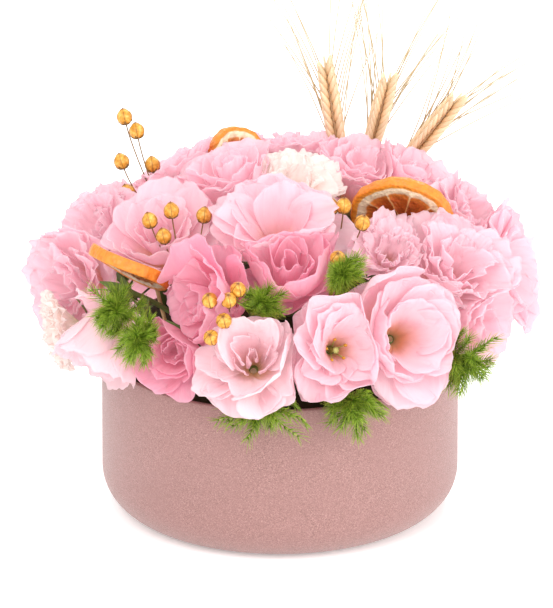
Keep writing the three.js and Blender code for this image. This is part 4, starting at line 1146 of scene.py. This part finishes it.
for name, x, y, z, yaw, pitch, length, width in EARS:
    tray = Tray()
    base, axis = np.array([x, y, z], float), facing(yaw, pitch)
    flat = unit(np.array([1.0, 0, 0]) - axis * axis[0])
    deep = np.cross(axis, flat)
    k = np.arange(2 * HUSK_PAIRS)
    share = (k + 0.5) / (2 * HUSK_PAIRS)
    row = np.where(k % 2, 1.0, -1.0)
    aside = flat * row[:, None]
    bulge = width * (0.55 + 0.45 * np.sin(np.pi * (0.15 + 0.75 * share)))
    for fan in (-1, 0, 1):
        way = unit(axis + flat * (row * (0.34 - 0.06 * abs(fan)))[:, None] + deep * 0.30 * fan)
        centre = (
            base + axis * (share * (length - 10) + 2)[:, None]
            + flat * (row * bulge * (0.34 + 0.08 * (fan == 0)))[:, None]
            + deep * (fan * bulge * 0.30)[:, None]
        )
        side = unit(np.cross(way, np.cross(aside, way)))
        husks(tray, centre, way, side, 0.35 + 0.5 * chance(k, fan))
    # The awns stand on the husks of the last fan.
    awns(tray, centre + way * 6, axis, aside, deep, share, (length, width))
    away = math.hypot(x, y)
    foot = np.array([x * STRAW_FOOT_OUT / away, y * STRAW_FOOT_OUT / away, FOOT_HEIGHT])
    t = np.linspace(0, 1, 14)[None, :, None]
    pull = 0.35 * np.linalg.norm(base - foot)
    tubes(tray, bezier([foot, foot + [0, 0, pull], base - axis * pull, base], t), STRAW_RADIUS, 8)
    t = np.linspace(0, 1, 12)[None, :, None]
    tubes(tray, base + axis * t * (length - 3), 1.3 * (1 - 0.4 * t[..., 0]), 6, 0.4)
    tray.cast(f"wheat_{name}_ear", [wheat_straw, awn_straw], [f"wheat_{name}"])

# %% [markdown]
# ## Dried orange slices
# Drying pulls the juice out of the flesh: the cells shrink to an amber film between pale walls,
# the pith stays as a cream ring, and the rind becomes a tough orange rim with puckered pores.
# A slice is a flat skin in rings from the core to the rim. u counts the segments round it and v
# the way out, so one ramp along v paints core, flesh, pith and rind.

# %% Orange material
def orange_material():
    """Dried orange: rind and flesh half matt like leather, pith like chalk."""
    material, tree, shader, _ = new_material("dried orange")
    _, u, v = surface_place(tree)
    where = in_space(tree)
    cells = node(tree, "ShaderNodeTexVoronoi", {"Vector": where, "Scale": 420.0}).outputs[0]
    pulp = noise(tree, where, 260.0, 4.0)
    way_out = sums(tree, "ADD", v, sums(tree, "MULTIPLY", pulp, 0.05))
    rim = [(0.91, "#F6AE48"), (0.95, "#F29A34"), (1.0, "#EC8A28")]
    pith = [(0.76, "#F6E3BC"), (0.885, "#FAEBC8")]
    flesh = ramp(tree, way_out, [
        (0.0, "#F3DDB0"), (0.10, "#EBC58C"), (0.16, "#9C4A1A"), (0.60, "#B45620"), (0.72, "#D07C34"),
        *pith, *rim,
    ])
    walls = ramp(tree, way_out, [
        (0.0, "#F3DDB0"), (0.30, "#D8A060"), (0.66, "#E2B278"), *pith, *rim,
    ])
    # u counts segments, so its fraction is 0 or 1 at a wall between two of them.
    from_middle = sums(tree, "ABSOLUTE", sums(tree, "SUBTRACT", sums(tree, "FRACT", u), 0.5))
    body = mixed(tree, stretched_share(tree, from_middle, 0.43, 0.49, 0.0, 1.0), flesh, walls)
    spots = stretched_share(tree, pulp, 0.45, 0.75, 0.0, 0.35)
    final = mixed(tree, spots, body, colour("#8E3B12"), blend_type="MULTIPLY")
    bump = node(tree, "ShaderNodeBump", {"Height": cells, "Strength": 0.6, "Distance": 0.8 * MM})
    tree.links.new(final, shader.inputs["Base Color"])
    tree.links.new(bump.outputs[0], shader.inputs["Normal"])
    shader.inputs["Roughness"].default_value = 0.42
    return material


dried_orange = orange_material()
print("orange nodes:", len(dried_orange.node_tree.nodes))

# %% Slices and their picks
SEGMENTS = 10
SLICE_SIDES = 160
FLAT_SHARE, ROUND_SHARE = 0.97, 0.03  # shares of the radius where the faces are flat, and rounded
PICK_RADIUS, PICK_FOOT_OUT = 1.3, 72  # mm


def orange_slice(tray, centre, axis, radius, half, seed):
    """A skin from the core out along one face, round the rim, and back in along the other.

    The flesh has sunk between its walls, by up to a third of the half thickness. The slice is
    warped like a saddle, by 5% of its radius, and its rim ripples.
    """
    side, up = across(axis)
    face = np.concatenate([np.linspace(0.05, 0.78, 16), np.linspace(0.81, FLAT_SHARE, 7)])
    rim = np.linspace(-0.5, 0.5, 7)[1:-1] * np.pi
    share = np.concatenate([face, FLAT_SHARE + ROUND_SHARE * np.cos(rim), face[::-1]])[:, None]
    height = np.concatenate([np.full(len(face), -1.0), np.sin(rim), np.full(len(face), 1.0)])[:, None]
    turn = 2 * np.pi * np.arange(SLICE_SIDES) / SLICE_SIDES
    hollow = smooth((0.8 - share) / 0.1) * smooth(share / 0.15)
    wall = np.abs(np.sin(turn * SEGMENTS / 2)) ** 0.6
    grain = 0.12 * np.sin(31 * turn + 40 * share) * np.sin(17 * turn - 60 * share)
    thick = half * (1 - 0.18 * smooth((0.95 - share) / 0.1) - hollow * (0.32 * wall + grain))
    warp = 0.05 * radius * share**2 * np.sin(2 * turn + seed)
    ripple = 1 + 0.012 * np.sin(7 * turn + seed) + 0.008 * np.sin(19 * turn)
    r = radius * share * ripple
    rings = (
        centre + axis * (height * thick + warp)[..., None]
        + side * (r * np.cos(turn))[..., None] + up * (r * np.sin(turn))[..., None]
    )
    core = axis * half * 0.6
    skins(tray, rings[None], (centre - core)[None], (centre + core)[None])
    # u counts segments and v is the share of the radius.
    place = np.stack(np.broadcast_arrays(turn * SEGMENTS / (2 * np.pi), share), -1).reshape(-1, 2)
    tray.places[-1] = np.concatenate([place, [[0.0, 0.0], [0.0, 0.0]]])


for name, x, y, z, radius, half, yaw, pitch in SLICES:
    tray = Tray()
    centre, axis = np.array([x, y, z], float), facing(yaw, pitch)
    orange_slice(tray, centre, axis, radius, half, yaw)
    tray.cast(f"orange_{name}_slice", [dried_orange], [f"orange_{name}"])

    tray = Tray()
    down = unit(np.array([0, 0, -1.0]) + axis * axis[2])
    tip = centre + down * (radius - 1)
    inward = min(1, PICK_FOOT_OUT / math.hypot(tip[0], tip[1]))
    foot = np.array([tip[0] * inward, tip[1] * inward, FOOT_HEIGHT])
    t = np.linspace(0, 1, 8)[None, :, None]
    tubes(tray, foot + (tip - foot) * t, PICK_RADIUS, 10, 0.6)
    tray.cast(f"pick_{name}_wood", [pick_wood], [f"pick_{name}"])

# %% [markdown]
# ## Flax pods
# A dried flax pod is a golden ball with a short point. Ten faint seams run from pole to pole,
# five of them dark, and five dry sepals hold it on a stalk as thin as thread.

# %% Flax pod material
def pod_material():
    """Dry seed pod: papery gold with brown seams, half matt."""
    material, tree, shader, _ = new_material("flax pod")
    _, u, v = surface_place(tree)
    fifth = sums(tree, "FRACT", sums(tree, "MULTIPLY", u, 5.0))
    from_middle = sums(tree, "ABSOLUTE", sums(tree, "SUBTRACT", fifth, 0.5))
    seam = stretched_share(tree, from_middle, 0.40, 0.48, 0.0, 0.85)
    uneven = noise(tree, in_space(tree), 380.0, 3.0)
    skin = ramp(tree, uneven, [(0.3, "#B9791E"), (0.5, "#D99A33"), (0.7, "#EDBE62")])
    body = mixed(tree, seam, skin, colour("#6E4212"))
    poles = ramp(tree, v, [(0.0, "#8A5A1E"), (0.12, "#FFFFFF"), (0.84, "#FFFFFF"), (0.97, "#7A4A16")])
    final = mixed(tree, 1.0, body, poles, blend_type="MULTIPLY")
    tree.links.new(final, shader.inputs["Base Color"])
    shader.inputs["Roughness"].default_value = 0.45
    return material


flax_pod = pod_material()
print("flax pod nodes:", len(flax_pod.node_tree.nodes))

# %% One flax pod
POD_RADIUS = 5
POD_SIDES, POD_RINGS = 40, 18


def pod(tray, centre, way):
    """A ball with ten faint ribs, |cos 2.5a| and |cos 5a|, and a short point at its tip."""
    side, up = across(way)
    turn = 2 * np.pi * np.arange(POD_SIDES) / POD_SIDES
    rise = np.linspace(-0.47, 0.47, POD_RINGS)[:, None] * np.pi
    rib = 1 + 0.035 * np.abs(np.cos(2.5 * turn)) - 0.02 * np.abs(np.cos(5 * turn))
    fat = POD_RADIUS * np.cos(rise) * rib
    tall = POD_RADIUS * (np.sin(rise) + 0.16 * smooth((np.sin(rise) - 0.8) / 0.2))
    rings = centre + way * tall[..., None] + side * (fat * np.cos(turn))[..., None]
    rings = rings + up * (fat * np.sin(turn))[..., None]
    foot, tip = centre - way * POD_RADIUS, centre + way * POD_RADIUS * 1.32
    skins(tray, rings[None], foot[None], tip[None])


def pod_sepals(tray, centre, way, first):
    """Five dry sepals that follow the pod from its foot to a little past its middle."""
    side, up = across(way)
    t = np.linspace(0, 1, 8)[:, None, None]
    u = np.linspace(-1, 1, 5)[None, :, None]
    sweep = -1.45 + 1.15 * t
    place = np.stack(np.broadcast_arrays(u[..., 0] / 2 + 0.5, t[..., 0]), -1)
    for number in range(5):
        turn = 2 * math.pi * number / 5 + first
        out = side * math.cos(turn) + up * math.sin(turn)
        shell = (POD_RADIUS + 0.35) * (way * np.sin(sweep) + out * np.cos(sweep))
        grid = centre + shell + np.cross(way, out) * u * 1.3 * np.sin(np.pi * t**0.7)
        sheets(tray, grid[None], place, 0.6, 0.3, 1)


# %% Sprigs of flax
SPRIGS = [
    # name, where its stems meet, then its pods
    ("back_left", (-70, 22, 154), [
        (-101, 34, 254), (-93, 32, 245), (-103, 34, 223), (-83, 36, 220), (-99, 30, 203)]),
    ("left", (-60, -52, 154), [
        (-84, -54, 216), (-70, -52, 222), (-75, -54, 205), (-49, -50, 218), (-58, -54, 192)]),
    ("centre", (-30, -84, 146), [
        (-45, -131, 191), (-33, -131, 191), (-27, -125, 196), (-36, -139, 180), (-44, -143, 170)]),
    ("right", (34, -44, 162), [(33, -50, 224), (41, -54, 226), (53, -66, 219), (37, -88, 203)]),
    ("far_right", (88, 8, 146), [(119, 4, 189)]),
]

for name, fork, pods in SPRIGS:
    tray = Tray()
    fork, centres = np.array(fork, float), np.array(pods, float)
    s = np.linspace(0, 1, 4)[None, :, None]
    tubes(tray, fork + np.array([0, 0, -50.0]) * (1 - s), 1.0, 6, 0.4, 1)
    # Each pod's own stalk leaves the fork upwards and comes in along the pod's axis.
    ways = unit(unit(centres - fork) + [0, 0, 0.4])
    reach = np.linalg.norm(centres - fork, axis=1)[:, None] * 0.25
    start = fork + np.zeros_like(ways)
    ends = [
        start, fork + [0, 0, 1.0] * reach,
        centres - ways * (POD_RADIUS + reach), centres - ways * POD_RADIUS * 0.9,
    ]
    s = np.linspace(0, 1, 16)[None, :, None]
    tubes(tray, bezier([end[:, None] for end in ends], s), 0.42, 6, 0.5, 1)
    for number, (centre, way) in enumerate(zip(centres, ways)):
        pod(tray, centre, way)
        pod_sepals(tray, centre, way, number)
    tray.cast(f"flax_{name}_pods", [flax_pod, flax_brown], [f"flax_{name}"])

# %% [markdown]
# ## The pot and the foam
# The pot is spun: a straight wall with a generously rounded foot and a thin soft lip. Its outside
# has a fine sandy coat of pinkish grains, some pale and some dark, about half a millimetre big.

# %% The coat of the pot
def pot_coat():
    """Sand-textured lacquer: grains of five shades over a dusty pink, matt with tiny glints."""
    material, tree, shader, _ = new_material("sand-coated lacquer")
    where = in_space(tree)
    grains = node(tree, "ShaderNodeTexVoronoi", {"Vector": where, "Scale": 1 / (0.45 * MM)})
    one_grain = node(tree, "ShaderNodeSeparateColor", {0: grains.outputs["Color"]})
    shades = ramp(tree, one_grain.outputs[0], [
        (0.0, "#7A5650"), (0.2, "#8F6963"), (0.5, "#9A716C"), (0.8, "#A57B76"), (1.0, "#B98F89"),
    ])
    drift = stretched_share(tree, noise(tree, where, 40.0, 4.0), 0.3, 0.7, 0.0, 0.5)
    body = mixed(tree, drift, shades, colour("#9A716C"))
    height = grains.outputs["Distance"]
    bump = node(tree, "ShaderNodeBump", {"Height": height, "Strength": 0.5, "Distance": 0.3 * MM})
    shine = stretched_share(tree, one_grain.outputs[1], 0.0, 1.0, 0.75, 0.4)
    tree.links.new(body, shader.inputs["Base Color"])
    tree.links.new(bump.outputs[0], shader.inputs["Normal"])
    tree.links.new(shine, shader.inputs["Roughness"])
    shader.inputs["Sheen Weight"].default_value = 0.25
    return material


# %% The pot, spun from its profile
POT_RADIUS, POT_HEIGHT, POT_FOOT_ROUND, POT_WALL = 116, 109, 27, 3
POT_SIDES = 144


def arc(centre_r, centre_z, radius, start, end, steps):
    """Points of a quarter round from one angle to another, in degrees from straight out."""
    a = np.radians(np.linspace(start, end, steps))
    return np.stack([centre_r + radius * np.cos(a), centre_z + radius * np.sin(a)], -1)


def straight(r, z, steps):
    """Points in line; r and z are each one value, or the first and the last."""
    r, z = np.broadcast_to(r, 2), np.broadcast_to(z, 2)
    return np.stack([np.linspace(*r, steps), np.linspace(*z, steps)], -1)


foot_flat = POT_RADIUS - POT_FOOT_ROUND
lip = POT_WALL / 2
profile = np.concatenate([
    straight((8, foot_flat - 6), 0, 6),
    arc(foot_flat, POT_FOOT_ROUND, POT_FOOT_ROUND, -90, 0, 20),
    straight(POT_RADIUS, (POT_FOOT_ROUND + 5, POT_HEIGHT - lip - 2), 12),
    arc(POT_RADIUS - lip, POT_HEIGHT - lip, lip, 0, 180, 9),
    straight(POT_RADIUS - POT_WALL, (POT_HEIGHT - lip - 3, POT_FOOT_ROUND + 5), 8),
    arc(foot_flat, POT_FOOT_ROUND, POT_FOOT_ROUND - POT_WALL, 0, -90, 10),
    straight((foot_flat - 6, 8), POT_WALL, 6),
])
turn = 2 * np.pi * np.arange(POT_SIDES) / POT_SIDES
r, z = profile[:, :1], profile[:, 1:]
rings = np.stack(np.broadcast_arrays(r * np.cos(turn), r * np.sin(turn), z), -1)
tray = Tray()
skins(tray, rings[None], np.array([[0, 0, 0.0]]), np.array([[0, 0, POT_WALL]], float))
tray.cast("pot_shell", [pot_coat()], ["pot"])

# %% Foam mound
MOUND = [(111, 95), (86, 130), (46, 150)]  # radius and height, over the pot's rim
FOAM = [(60, 3.5), (86, 4.0), (108, 20), (111, 30), (111, 60), (111, 80), *MOUND, (20, 150)]

outline = np.array(FOAM, float)
steps = np.linspace(0, len(outline) - 1, 60)
r = np.interp(steps, np.arange(len(outline)), outline[:, 0])[:, None]
z = np.interp(steps, np.arange(len(outline)), outline[:, 1])[:, None]
turn = 2 * np.pi * np.arange(96) / 96
lump = smooth((z - 90) / 20) * (1.2 * np.sin(9 * turn + 0.4 * z) + 1.0 * np.sin(17 * turn - 0.6 * r))
level = r - 1 + lump * 0.3
rings = np.stack([level * np.cos(turn), level * np.sin(turn), z - 1 + lump * 0.5], -1)
tray = Tray()
skins(tray, rings[None], np.array([[0, 0, 3.5]]), np.array([[0, 0, 149.5]]))
tray.cast("foam_mound", [foam_wet], ["foam"])

# %% [markdown]
# ## Floor and light
# The photograph is a high-key studio picture: a white ground, a large soft light from the front
# and above, and a bright room all round that keeps the shadows pale.

# %% Floor
FLOOR_HALF = 12.0  # metres

corners = [(-1, -1), (1, -1), (1, 1), (-1, 1)]
floor_mesh = bpy.data.meshes.new("floor")
floor_mesh.from_pydata([(x * FLOOR_HALF, y * FLOOR_HALF, 0) for x, y in corners], [], [(0, 1, 2, 3)])
floor = bpy.data.objects.new("floor", floor_mesh)
bpy.context.scene.collection.objects.link(floor)
floor_material, _, floor_shader, _ = new_material("white studio floor")
floor_shader.inputs["Base Color"].default_value = colour("#FAFAFA")
floor_shader.inputs["Roughness"].default_value = 0.8
floor_shader.inputs["Emission Color"].default_value = colour("#FFFFFF")
floor_shader.inputs["Emission Strength"].default_value = 0.28
floor_mesh.materials.append(floor_material)
print("floor:", 2 * FLOOR_HALF, "metres square")

# %% Lights
LIT_POINT = Vector((0, 0, 0.15))  # the middle of the blooms, in metres


def soft_light(name, place, size, watts):
    """A square area light that looks at the middle of the blooms; place and size are in metres."""
    data = bpy.data.lights.new(name, "AREA")
    data.shape, data.size, data.energy = "SQUARE", size, watts
    lamp = bpy.data.objects.new(name, data)
    bpy.context.scene.collection.objects.link(lamp)
    lamp.location = place
    lamp.rotation_euler = (LIT_POINT - Vector(place)).to_track_quat("-Z", "Y").to_euler()


soft_light("key", (-0.7, -1.5, 1.6), 1.2, 20)
soft_light("fill", (1.5, -1.2, 0.9), 1.4, 20)
soft_light("back", (0.2, 1.5, 1.5), 1.2, 20)
world = bpy.data.worlds.new("studio")
world.use_nodes = True
room_light = world.node_tree.nodes["Background"]
room_light.inputs["Color"].default_value = colour("#FFFFFF")
room_light.inputs["Strength"].default_value = 1.0
bpy.context.scene.world = world
bpy.context.scene.view_settings.view_transform = "Standard"
print("lights:", len(bpy.data.lights), "and a white room")
